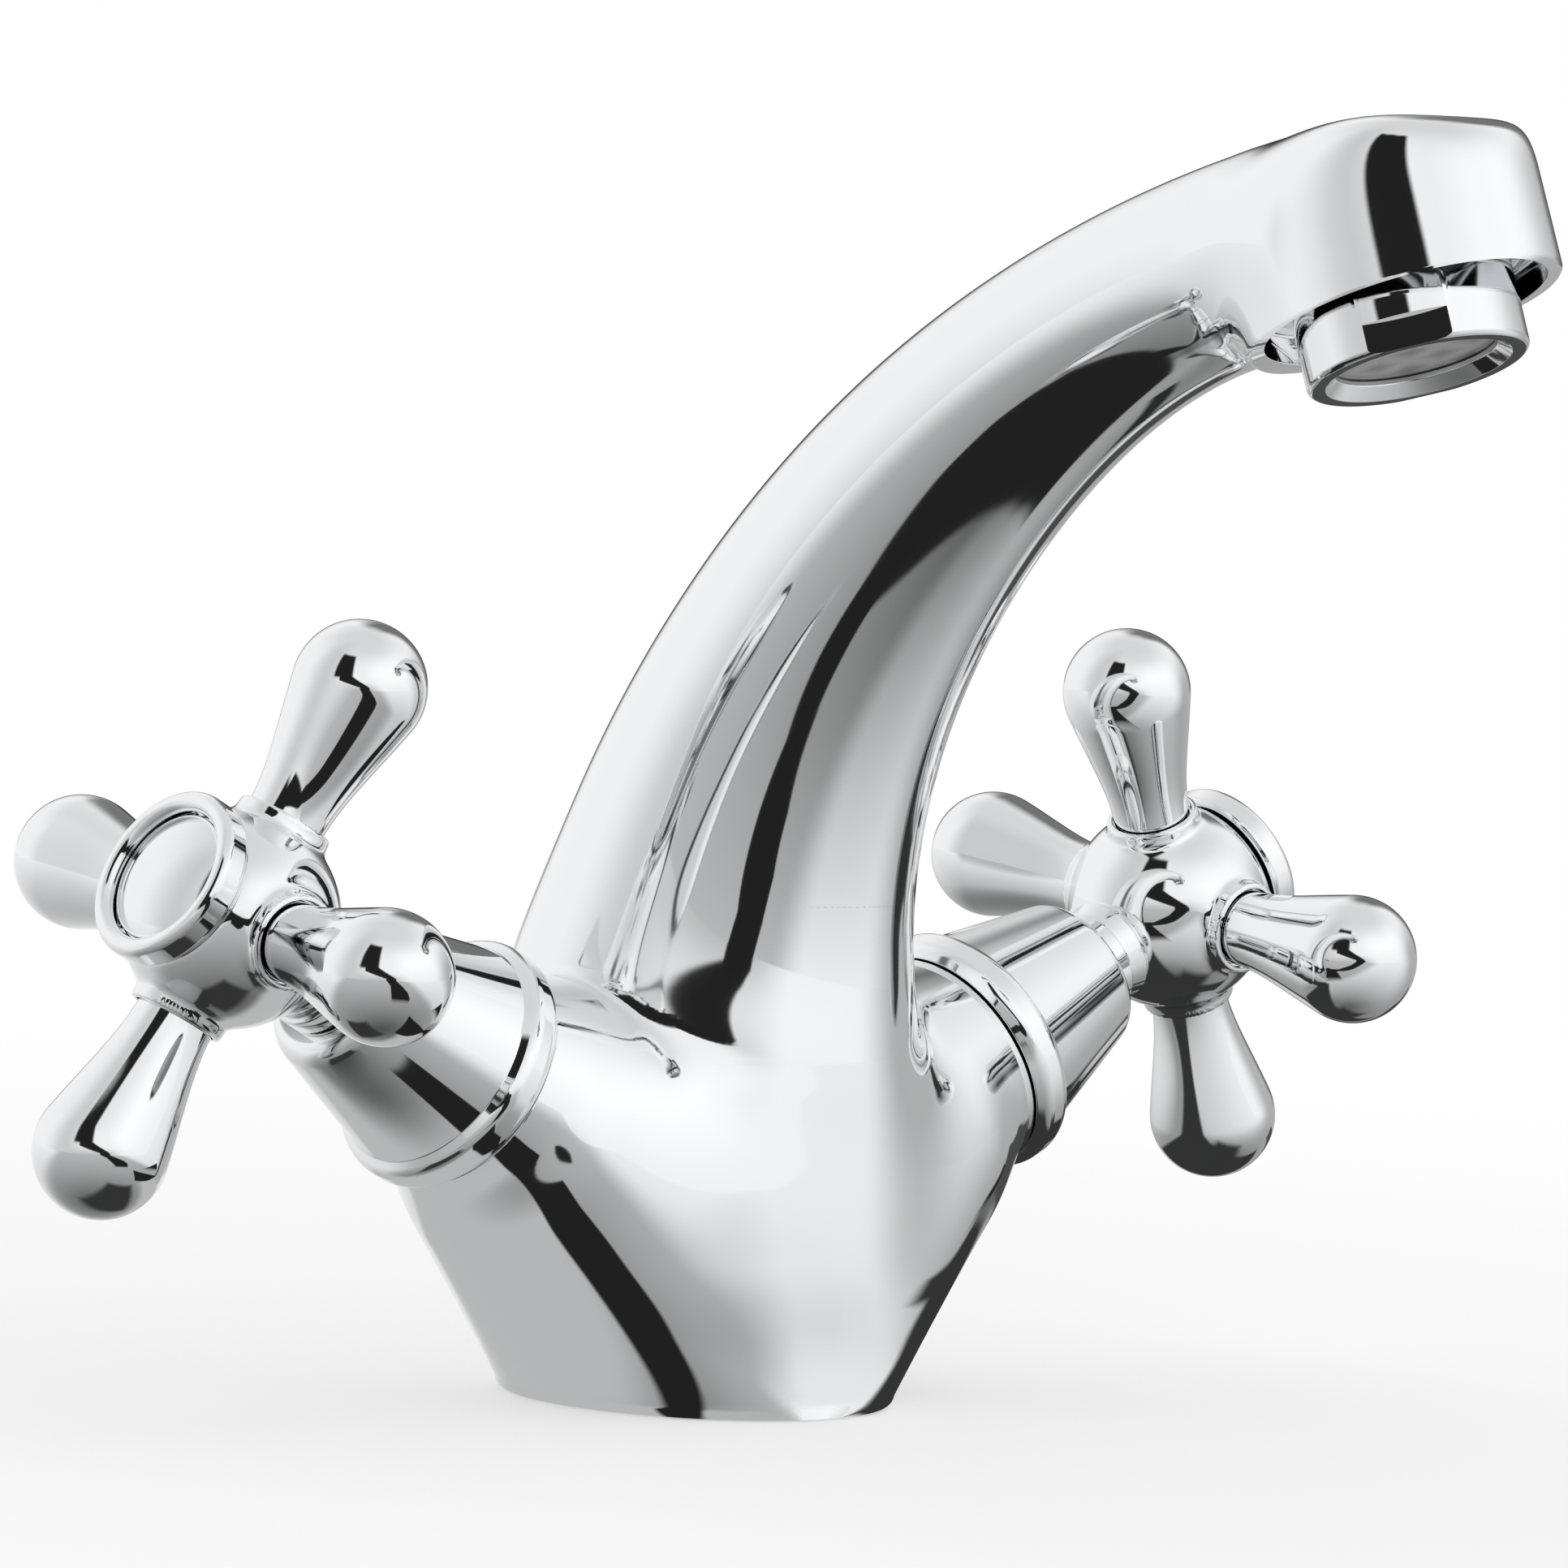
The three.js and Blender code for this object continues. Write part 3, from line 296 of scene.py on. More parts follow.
# body casting, in mm and degrees: column, swan-neck spout, two valve shoulders and the outlet's head
cast = {
    "footRadius": 24.35,
    "footRounding": 1.5,
    "columnTop": 43.4,
    "rise": 52.6,
    "run": 44.9,
    "endSlope": 4.4,
    "endBack": 9.3,
    "endRise": 7.4,
    "endBlend": 3.0,
    # spout radius at every seventh of its length, from three before its start to two past its end
    "radii": [24.35, 24.35, 24.35, 24.6, 21.7, 18.5, 16.2, 14.1, 12.3, 11.6, 13.0, 14.5, 16.0],
    "rootHeight": 44.5,
    "rootSpread": 13.0,
    "rootSwell": 1.6,
    "rootBack": 1.04,
    "shoulderDepth": 41.6,
    "shoulderRadius": 14.3,
    "shoulderFlare": 18.0,
    "shoulderEase": 0.00265,
    "shoulderEaseEnd": 60.0,
    "shoulderOver": 3.0,
    "shoulderEdge": 0.3,
    # the two fields that are not true distances are shortened a little
    "shoulderScale": 0.95,
    "flankScale": 0.93,
    "flankInset": 0.4,
    "flankShares": (-0.2, 1.3),
    # widths of the soft joins, and the lengths over which they grow
    "leastBlend": 0.05,
    "flankBlend": 6.0,
    "flankBlendOver": 12.0,
    "creaseBlend": 2.2,
    "creaseLow": 38.0,
    "creaseOver": 14.0,
    "frontBlend": 9.0,
    "footBlendOver": 18.0,
    "throatBlend": 8.0,
    "throatOver": 14.0,
    "topBlend": 1.0,
    "headHalfWidth": 16.35,
    "headHalfLength": 19.8,
    "headTaper": 0.012,
    "headTop": 159.4,
    "crownFront": -119.0,
    "crownBend": 0.0046,
    "crownDepth": 42.0,
    # from crownLead before the front, over crownOver: squareness and half width, and what each loses
    "crownLead": 12.0,
    "crownOver": 50.0,
    "crownSquare": (6.0, 3.9),
    "crownWide": (20.0, 6.3),
    "edgeRadius": 2.6,
    "rimWall": 1.8,
    "rimRounding": 0.6,
    "rimDrop": 0.7,
    "rimReach": 26.3,
    "recessDepth": 3.5,
    "aeratorBore": 12.2,
    "boreDepth": 12.3,
    # the skin's grid: rows of each kind, and how far the columns crowd towards the shoulders
    "columns": 220,
    "crowding": 0.2,
    "coneRows": 108,
    "easeRows": 56,
    "squareRows": 111,
    "fanRows": 92,
    "fanHeight": 28.0,
    "coneLean": 44.0,
    "squareFrom": 82.0,
    "rayLength": 70.0,
    # the valve's pocket from its floor up: radius, and depth of the step's top; then the radius and
    # height over the shoulder of the cutter that makes it
    "pocketFloor": 30.0,
    "pocket": [(3.8, 18.4), (9.4, 10.0), (10.4, 1.4), (12.1, 0.0)],
    "pocketOver": (30.0, 8.0),
    "inletRadius": 4.9,
    "inletOffset": 12.0,
    "inletDepth": 12.0,
    "studRadius": 3.4,
    "studOffset": 13.0,
    "studDepth": 14.0,
    "sealGroove": (17.0, 21.2, 2.5),
}

outletAxes, outletCentre = outletPlace()
outletBack, outletUp = outletAxes[1], outletAxes[2]
endSlope = radians(cast["endSlope"])
spineEnd = np.array([cast["endBack"] - layout["outletReach"], layout["outletHeight"] + cast["endRise"]])
spinePoles = np.array([
    [0, cast["columnTop"]],
    [0, cast["columnTop"] + cast["rise"]],
    spineEnd + cast["run"] * np.array([cos(endSlope), -sin(endSlope)]),
    spineEnd,
])


def spine(t):
    # cubic Bezier centre line in (y, z), straight past both ends, with its slope and its bend
    share = np.clip(t, 0, 1)[..., None]
    rest = 1 - share
    a, b, c, d = spinePoles
    point = rest**3 * a + 3 * rest**2 * share * b + 3 * rest * share**2 * c + share**3 * d
    slope = 3 * (rest**2 * (b - a) + 2 * rest * share * (c - b) + share**2 * (d - c))
    bend = 6 * (rest * (c - 2 * b + a) + share * (d - 2 * c + b))
    over = np.asarray(t)[..., None] - share
    return point + slope * over, slope, np.where(over == 0, bend, 0)


spineSteps = np.linspace(-0.3, 1.5, 300)
spinePoints = spine(spineSteps)[0]


def nearestOnSpine(points, guess=None):
    # foot of the square from each point to the centre line, by three Newton steps
    at = points[..., 1:]
    if guess is None:
        far = (at[..., :1] - spinePoints[:, 0])**2 + (at[..., 1:] - spinePoints[:, 1])**2
        guess = spineSteps[far.argmin(-1)]
    for _ in range(3):
        point, slope, bend = spine(guess)
        off = point - at
        stiff = (slope * slope).sum(-1) + (off * bend).sum(-1)
        guess = guess - (off * slope).sum(-1) / np.maximum(stiff, 1)
    return guess


def spoutRadius(t):
    # uniform cubic B-spline through the radii
    values = np.array(cast["radii"])
    u = np.clip(np.asarray(t) * 7 + 3, 1, len(values) - 2.001)
    k = np.floor(u).astype(int)
    f = u - k
    a, b, c, d = values[k - 1], values[k], values[k + 1], values[np.minimum(k + 2, len(values) - 1)]
    return ((1 - f)**3 * a + (3 * f**3 - 6 * f**2 + 4) * b + (3 * (f + f**2 - f**3) + 1) * c + f**3 * d) / 6


def tubeField(points, t):
    # distance from the centre line less the radius, swollen and set back at the root, cut off past its end
    point = spine(t)[0]
    swell = np.exp(-((point[..., 1] - cast["rootHeight"]) / cast["rootSpread"])**2)
    back = points[..., 1] - point[..., 0] - cast["rootBack"] * swell
    away = np.sqrt(points[..., 0]**2 + back**2 + (points[..., 2] - point[..., 1])**2)
    past = (points[..., 1:] - spineEnd) @ np.array([-cos(endSlope), sin(endSlope)])
    return softMax(away - spoutRadius(t) - cast["rootSwell"] * swell, past, cast["endBlend"])


coldAxes, coldCentre = valvePlace(1)


def shoulderField(points):
    # cone round the valve's axis, eased front to back as it widens
    off = points - coldCentre
    depth = -cast["shoulderDepth"] - off @ coldAxes[2]
    tall = np.maximum(cast["shoulderRadius"] + tan(radians(cast["shoulderFlare"])) * depth, 1)
    wide = np.maximum(tall - cast["shoulderEase"] * np.clip(depth, 0, cast["shoulderEaseEnd"])**2, 1)
    ring = np.sqrt((off @ coldAxes[0] / tall)**2 + (off[..., 1] / wide)**2)
    return (ring - 1) * np.minimum(tall, wide) * cast["shoulderScale"], depth


def flankField(points):
    # straight lines from the foot's circle to the shoulder's rim: the share of the way along is the
    # root of a quadratic, and the section there is an ellipse
    foot = cast["footRadius"]
    rimRadius = cast["shoulderRadius"] - cast["flankInset"]
    rim = coldCentre - coldAxes[2] * (cast["shoulderDepth"] + cast["flankInset"])
    span, height = rim[0], rim[2] - cast["footRounding"]
    tipUp, tipOut = rimRadius * coldAxes[0][2], -rimRadius * coldAxes[0][0] - foot
    x, up = points[..., 0], points[..., 2] - cast["footRounding"]
    a = tipUp * span + height * tipOut
    b = height * foot - tipUp * x - up * tipOut
    share = 2 * up * foot / (b + np.sqrt(np.maximum(b * b + 4 * a * up * foot, 0)) + 1e-9)
    share = np.clip(share, *cast["flankShares"])
    axisX, axisZ = foot + share * tipOut, -share * tipUp
    size = axisX**2 + axisZ**2
    along = ((x - share * span) * axisX + (up - share * height) * axisZ) / size
    wide = foot + share * (rimRadius - foot)
    return (np.sqrt(along**2 + (points[..., 1] / wide)**2) - 1) * wide * cast["flankScale"]


def headField(points):
    # oval cup along the outlet's axis, under a crown whose section grows squarer towards the front
    off = points - outletCentre
    up, back = off @ outletUp, off @ outletBack
    shrink = cast["headTaper"] * up
    a, b = cast["headHalfWidth"] - shrink, cast["headHalfLength"] - shrink
    ring = np.sqrt((points[..., 0] / a)**2 + (back / b)**2)
    slope = np.sqrt((points[..., 0] / a**2)**2 + (back / b**2)**2) / np.maximum(ring, 1e-6)
    cup = (ring - 1) / np.maximum(slope, 0.02)
    behind = points[..., 1] - cast["crownFront"]
    top = cast["headTop"] - cast["crownBend"] * np.maximum(behind, 0)**2
    share = np.clip((behind + cast["crownLead"]) / cast["crownOver"], 0, 1)
    square = cast["crownSquare"][0] - cast["crownSquare"][1] * smoothStep(share)
    wide = cast["crownWide"][0] - cast["crownWide"][1] * share
    half = cast["crownDepth"] / 2
    tall = (points[..., 2] - top + half) / half
    crown = (np.abs(points[..., 0] / wide)**square + np.abs(tall)**square + 1e-12)**(1 / square)
    return softMax(cup, (crown - 1) * np.minimum(half, wide), cast["edgeRadius"] * 2), top


def castingField(points, t):
    # spout and column, joined to the arms by a crease above and a broad blend in front,
    # and to the head by a tight line on top and a soft throat below
    tube = tubeField(points, t)
    cold = points.copy()
    cold[..., 0] = np.abs(points[..., 0])
    shoulder, depth = shoulderField(cold)
    flank = cast["leastBlend"] + cast["flankBlend"] * smoothStep(depth / cast["flankBlendOver"])
    arm = softMin(shoulder, flankField(cold), flank)
    arm = np.maximum(arm, -depth - cast["shoulderOver"])
    z = points[..., 2]
    low = 1 - smoothStep((z - cast["creaseLow"]) / cast["creaseOver"])
    blend = cast["creaseBlend"] + (cast["frontBlend"] - cast["creaseBlend"]) * low
    blend = cast["leastBlend"] + blend * smoothStep((z - cast["footRounding"]) / cast["footBlendOver"])
    head, top = headField(points)
    under = smoothStep((top - z) / cast["throatOver"])
    join = cast["topBlend"] + (cast["throatBlend"] - cast["topBlend"]) * under
    return softMin(softMin(tube, arm, blend), head, join)


def castingSlope(points):
    t = nearestOnSpine(points)
    return fieldSlope(lambda near: castingField(near, nearestOnSpine(near, t)), points)


def rayRows(origin, axis, lean):
    # a row of rays for each origin and axis in (y, z), leaning along the axis by this much
    return np.concatenate([origin, axis, lean[:, None]], 1)


def castingRows():
    # the skin's rows are cut by rays from the spine: cones that open from the foot to the shoulders,
    # easing into squares across the spout, then a fan about a pivot behind the outlet, up to its rim
    steps = np.linspace(-0.3, 1, 2000)
    points = spine(steps)[0]
    arc = np.concatenate([[0], np.cumsum(np.linalg.norm(np.diff(points, axis=0), axis=1))])
    arc += cast["columnTop"] - np.interp(0, steps, arc)
    fan, foot, widest = cast["fanHeight"], cast["footRadius"], radians(cast["coneLean"])
    tilt = np.linspace(np.arctan((cast["footRounding"] - fan) / foot), widest, cast["coneRows"])
    ones = np.ones((len(tilt), 1))
    cones = rayRows(ones * [0, fan], ones * [0, 1], np.tan(tilt))

    share = np.linspace(0, 1, cast["easeRows"] + 1)[1:]
    firstHit = fan + foot * tan(widest)
    hit = firstHit + (cast["squareFrom"] - firstHit) * share
    lean = np.tan(widest * (1 - smoothStep(share)))
    at = hit - spoutRadius(np.interp(hit, arc, steps)) * lean
    point, slope, _ = spine(np.interp(at, arc, steps))
    easing = rayRows(point, unit(slope), lean)

    rimReach = cast["rimReach"]
    pivot = (outletCentre + rimReach * outletBack + cast["rimDrop"] * outletUp)[1:]
    ahead = ((points - pivot) * spine(steps)[1]).sum(-1)
    lastStep = steps[np.where((ahead[:-1] < 0) & (ahead[1:] >= 0))[0][-1]]
    square = np.linspace(cast["squareFrom"], np.interp(lastStep, steps, arc), cast["squareRows"] + 1)[1:]
    point, slope, _ = spine(np.interp(square, arc, steps))
    across = rayRows(point, unit(slope), np.zeros(len(square)))

    start = point[-1] - pivot
    startAngle = np.arctan2(start[1], start[0])
    endAngle = np.arctan2(-outletBack[2], -outletBack[1]) % fullTurn
    turn = np.linspace(0, 1, cast["fanRows"] + 1)[1:]
    angle = startAngle + (endAngle - startAngle) * turn
    reach = np.linalg.norm(start) + (rimReach - np.linalg.norm(start)) * turn
    spoke = np.stack([np.cos(angle), np.sin(angle)], 1)
    facing = np.stack([-spoke[:, 1], spoke[:, 0]], 1)
    fanned = rayRows(pivot + spoke * reach[:, None], facing, np.zeros(len(turn)))
    return np.concatenate([cones, easing, across, fanned])


def castingGrid():
    rows = castingRows()
    angle = np.arange(cast["columns"]) * fullTurn / cast["columns"]
    angle = angle - cast["crowding"] * np.sin(2 * angle)
    origin, axis = np.zeros((2, len(rows), 1, 3))
    origin[:, 0, 1:] = rows[:, :2]
    axis[:, 0, 1:] = rows[:, 2:4]
    sideways = np.array([1.0, 0, 0])
    ray = np.cos(angle)[:, None] * sideways + np.sin(angle)[:, None] * np.cross(axis, sideways)
    ray = unit(ray + axis * rows[:, 4, None, None])
    # bisection along every ray for the place where the field changes sign
    low = np.zeros(ray.shape[:-1])
    high = np.full(ray.shape[:-1], cast["rayLength"])
    guess = None
    for step in range(26):  # halvings, to a millionth of a millimetre
        middle = (low + high) / 2
        points = origin + ray * middle[..., None]
        guess = nearestOnSpine(points, guess if step > 3 else None)
        inside = castingField(points, guess) < 0
        low = np.where(inside, middle, low)
        high = np.where(inside, high, middle)
    skin = origin + ray * ((low + high) / 2)[..., None]

    # the foot: a quarter round down to the deck
    quarter = np.linspace(0, pi / 2, 7)[:-1]
    rounding = cast["footRounding"]
    radius = cast["footRadius"] - rounding * (1 - np.sin(quarter))
    height = rounding * (1 - np.cos(quarter))
    foot = np.stack([
        radius[:, None] * np.cos(angle),
        radius[:, None] * np.sin(angle),
        np.broadcast_to(height[:, None], (len(radius), len(angle))),
    ], -1)
    # the rim: the last row drawn in over a quarter round
    last = skin[-1]
    run = np.roll(last, -1, axis=0) - np.roll(last, 1, axis=0)
    outward = unit(np.cross(run, outletUp))
    outward *= np.sign((outward * (last - last.mean(0))).sum())
    edge = cast["rimRounding"]
    turn = np.linspace(0, pi / 2, 7)[:, None, None]
    drop = cast["rimDrop"] - edge + edge * np.sin(turn)
    rim = last - outward * edge * (1 - np.cos(turn)) - outletUp * drop
    return np.concatenate([foot, skin, rim])


def castingPiece():
    piece = skinPiece("bodyCasting", castingGrid(), poles=np.array([[0, 0, 0], outletCentre]))
    markFaces(piece, 1)
    # over each pocket the cutter widens past the shoulder's rim, and rounds its edge
    edge, radius, flat = cast["shoulderEdge"], cast["shoulderRadius"], -cast["shoulderDepth"]
    steps = [(wide, flat - deep) for wide, deep in cast["pocket"]]
    pocket = steppedHole(flat - cast["pocketFloor"], steps)
    pocket += [(radius, flat, edge), (radius + edge * 1.4, flat - edge * 4, hair)]
    wide, over = cast["pocketOver"]
    pocket += [(wide, flat - edge * 4, hair), (wide, flat + over, hair), (0, flat + over, 0)]
    profile = roundedProfile(pocket, False, 4)
    cutters = [turnedPiece("pocketCut", profile, valvePlace(side), 128) for side in (-1, 1)]
    half = cast["headHalfWidth"] - cast["rimWall"]
    longer = cast["headHalfLength"] - cast["headHalfWidth"]
    deep, wide, end = cast["recessDepth"], cast["aeratorBore"], cast["boreDepth"]
    recess = [(0, -3, 0), (half + 3, -3, hair), (half, 0, 0.4), (half, deep, 0.4), (0, deep, 0)]
    cutters.append(turnedPiece("recessCut", roundedProfile(recess, False, 5), outletPlace(), 160, longer))
    bore = [(0, deep - 1, 0), (wide, deep - 1, hair), (wide, end, 0.3), (0, end, 0)]
    cutters.append(turnedPiece("boreCut", roundedProfile(bore, False, 3), outletPlace(), 128))
    inner, outer, deep = cast["sealGroove"]
    groove = [(inner, -1, hair), (outer, -1, hair), (outer, deep, 0.1), (inner, deep, 0.1)]
    cutters.append(turnedPiece("grooveCut", roundedProfile(groove, True, 2), (np.eye(3), np.zeros(3)), 128))
    holes = [(cast["inletRadius"], side * cast["inletOffset"], 0, cast["inletDepth"]) for side in (-1, 1)]
    holes.append((cast["studRadius"], 0, -cast["studOffset"], cast["studDepth"]))
    for wide, x, y, deep in holes:
        hole = [(0, -1, 0), (wide + 1.5, -1, hair), (wide, 0.5, hair), (wide, deep, 0.2), (0, deep, 0)]
        place = (np.eye(3), np.array([x, y, 0.0]))
        cutters.append(turnedPiece("holeCut", roundedProfile(hole, False, 2), place, 48))
    for cutter in cutters:
        markFaces(cutter, 0)
    carve(piece, cutters)
    carvedNormals(piece, castingSlope)
    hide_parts("body_casting")
    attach(piece, "fixed_body")
    return piece


# bell over a valve: heights run outward along it from the handle's centre, and the bead's two turns
# are shares of its own height
bellSizes = {
    "low": -41.3,
    "high": -17.4,
    "radius": 14.3,
    "wall": 1.3,
    "bead": 1.45,
    "beadHeight": 5.4,
    "beadTurns": (0.22, 0.8),
    "beadRounding": 1.9,
    "topRadius": 9.6,
    "topRounding": 2.6,
    "bore": 6.0,
    "bossBore": 7.5,
    "bossTop": -18.7,
    "bossLength": 5.2,
}


def bellPiece(name, side):
    b = bellSizes
    low, bead = b["low"], b["beadHeight"]
    out, inner = b["radius"], b["radius"] - b["wall"]
    corners = [
        (inner, low, 0.2), (out + 0.2, low, 0.35),
        (out + b["bead"], low + b["beadTurns"][0] * bead, b["beadRounding"]),
        (out + b["bead"], low + b["beadTurns"][1] * bead, b["beadRounding"]),
        (out - 0.1, low + bead, 0.3),
        (b["topRadius"], b["high"], b["topRounding"]), (b["bore"], b["high"], 0.25),
        (b["bore"], b["bossTop"], 0.1), (b["bossBore"], b["bossTop"], 0.1),
        (b["bossBore"], b["bossTop"] - b["bossLength"], 0.1),
        (b["topRadius"] - 0.6, b["bossTop"] - b["bossLength"], 0.5),
        (inner, low + bead, 0.5),
    ]
    piece = turnedPiece(name + "Bell", roundedProfile(corners, True, 7), valvePlace(side), 144)
    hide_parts(name + "_bell")
    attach(piece, "fixed_body")
    return piece


# cross handle, from its own centre: heights run outward along the valve, and reaches along an arm
handleSizes = {
    "twist": 8.0,
    "hubRadius": 12.9,
    "hubFace": 8.4,
    "faceEdge": 0.9,
    "bossRadius": 5.8,
    "bossReach": 13.4,
    "bossEdge": 0.7,
    "bossFillet": 1.3,
    "socketRadius": 5.1,
    "socketFloor": 12.4,
    "socketEnds": (7.0, 15.0),
    "stubBore": 2.7,
    "rayLength": 20.0,
    "rows": 130,
    "columns": 256,
    # the bore from below: radius, and height of the step's top
    "boreSteps": [(5.3, -16.5), (4.15, -2.7), (2.3, -0.8), (4.0, 4.4)],
    "collarRadius": 6.6,
    "collarLow": -17.1,
    "collarHigh": -14.5,
    "neckRadius": 5.9,
    "capRecess": 7.6,
    "armRoot": 4.8,
    "ballReach": 31.0,
    "ballRadius": 8.0,
    "ballMeet": 12.0,
    "rootPull": 5.0,
    "ballPull": 7.0,
    "stubRadius": 2.4,
    "stubStart": 7.6,
    "rootGap": 0.3,
    "rootEdge": 0.3,
}


def armPlace(side, quarter):
    # an arm's own axis is turned across the spindle, a quarter turn apart
    axes, centre = valvePlace(side)
    angle = side * (radians(handleSizes["twist"]) + quarter * pi / 2)
    along = cos(angle) * axes[0] + sin(angle) * axes[1]
    return np.array([np.cross(axes[2], along), axes[2], along]), centre


def hubField(points, side):
    # ball joined softly to four bosses, under a flat face
    h = handleSizes
    away = np.linalg.norm(points, axis=-1) - h["hubRadius"]
    angle = side * radians(h["twist"])
    along = np.abs(points[..., 0] * cos(angle) + points[..., 1] * sin(angle))
    across = np.abs(points[..., 1] * cos(angle) - points[..., 0] * sin(angle))
    height = points[..., 2]
    for reach, aside in ((along, across), (across, along)):
        boss = softMax(np.hypot(aside, height) - h["bossRadius"], reach - h["bossReach"], h["bossEdge"])
        away = softMin(away, boss, h["bossFillet"])
    return softMax(away, height - h["hubFace"], h["faceEdge"])


def hubPiece(name, side):
    # rays from the centre, one for each polar angle and each angle round, end where the field is zero
    h = handleSizes
    place = valvePlace(side)
    rows, columns = h["rows"], h["columns"]
    polar = np.linspace(0, pi, rows + 2)[1:-1]
    angle = np.arange(columns) * fullTurn / columns
    ray = np.stack([
        np.sin(polar)[:, None] * np.cos(angle),
        np.sin(polar)[:, None] * np.sin(angle),
        np.broadcast_to(-np.cos(polar)[:, None], (rows, columns)),
    ], -1)
    low, high = np.zeros((rows, columns)), np.full((rows, columns), h["rayLength"])
    for _ in range(24):  # halvings, to a millionth of a millimetre
        middle = (low + high) / 2
        inside = hubField(ray * middle[..., None], side) < 0
        low = np.where(inside, middle, low)
        high = np.where(inside, high, middle)
    skin = ray * ((low + high) / 2)[..., None]
    poles = np.array([[0, 0, -h["hubRadius"]], [0, 0, h["hubFace"]]])
    piece = skinPiece(name + "HandleHub", moved(skin, place), poles=moved(poles, place))
    markFaces(piece, 1)
    collar = [
        (0, h["collarLow"], 0), (h["collarRadius"], h["collarLow"], 0.3),
        (h["collarRadius"], h["collarHigh"], 0.35), (h["neckRadius"], h["collarHigh"] + 0.4, 0.3),
        (h["neckRadius"] + 0.6, -h["hubRadius"] + 1.2, 0.2), (0, -9, 0),
    ]
    added = [turnedPiece("collar", roundedProfile(collar, False, 5), place, 96)]
    above = h["hubFace"] + 1
    bore = steppedHole(h["collarLow"] - 1, h["boreSteps"] + [(h["capRecess"], above)]) + [(0, above, 0)]
    cutters = [turnedPiece("bore", roundedProfile(bore, False, 1), place, 96)]
    (start, end), wide, floor = h["socketEnds"], h["socketRadius"], h["socketFloor"]
    socket = [
        (0, start, 0), (h["stubBore"], start, hair), (h["stubBore"], floor, hair), (wide, floor, 0.1),
        (wide, h["bossReach"] - 0.05, 0.15), (wide + 1.0, h["bossReach"] + 0.6, hair),
        (wide + 1.0, end, hair), (0, end, 0),
    ]
    for quarter in range(4):
        cutters.append(turnedPiece("socket", roundedProfile(socket, False, 4), armPlace(side, quarter), 96))
    for cutter in added + cutters:
        markFaces(cutter, 0)
    carve(piece, cutters, added)

    def slopeAt(points):
        local = (points - place[1]) @ place[0].T
        return fieldSlope(lambda near: hubField(near, side), local) @ place[0]

    carvedNormals(piece, slopeAt)
    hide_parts(name + "_handle_hub")
    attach(piece, name + "_handle")
    return piece


armNames = ["up", "front", "down", "back"]


def armPiece(name, side, quarter):
    # teardrop: a cubic Bezier flank from the root that runs into the arc of a round ball end
    h = handleSizes
    meet = radians(h["ballMeet"])
    rootLow = h["socketFloor"] + h["rootGap"]
    rootTop = rootLow + h["rootEdge"]
    end = np.array([h["ballRadius"] * cos(meet), h["ballReach"] - h["ballRadius"] * sin(meet)])
    a = np.array([h["armRoot"], rootTop])
    b = np.array([h["armRoot"], rootLow + h["rootPull"]])
    c = end + h["ballPull"] * np.array([-sin(meet), -cos(meet)])
    t = np.linspace(0, 1, 44)[:, None]
    flank = (1 - t)**3 * a + 3 * (1 - t)**2 * t * b + 3 * (1 - t) * t**2 * c + t**3 * end
    turn = np.linspace(-meet, pi / 2, 45)[1:]
    ball = np.stack([h["ballRadius"] * np.cos(turn), h["ballReach"] + h["ballRadius"] * np.sin(turn)], 1)
    stub = roundedProfile([
        (0, h["stubStart"], 0), (h["stubRadius"], h["stubStart"], 0.3), (h["stubRadius"], rootLow, 0.1),
        (h["armRoot"], rootLow, 0.25), (h["armRoot"], rootTop, 0),
    ], False, 4)
    stub = [each[:-5] for each in stub]  # the flank begins in the last corner's place
    profile = joinedProfile(stub, curveProfile(np.concatenate([flank, ball])))
    piece = turnedPiece(name + "Arm" + armNames[quarter].capitalize(), profile, armPlace(side, quarter), 96)
    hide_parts(name + "_arm_" + armNames[quarter])
    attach(piece, name + "_handle")
    return piece


# index cap: a ring that clips into the hub, and the domed button inside it
capSizes = {
    "low": 8.7,
    "buttonRadius": 8.0,
    "buttonEdge": 0.7,
    "buttonDome": 2.2,
    "domeInset": 0.35,
    "gap": 0.25,
    "ringWall": 2.42,
    "ringHeight": 3.7,
    "ledge": 1.2,
    "skirtRadius": 7.3,
    "skirtWall": 1.0,
    "skirtLength": 3.4,
}


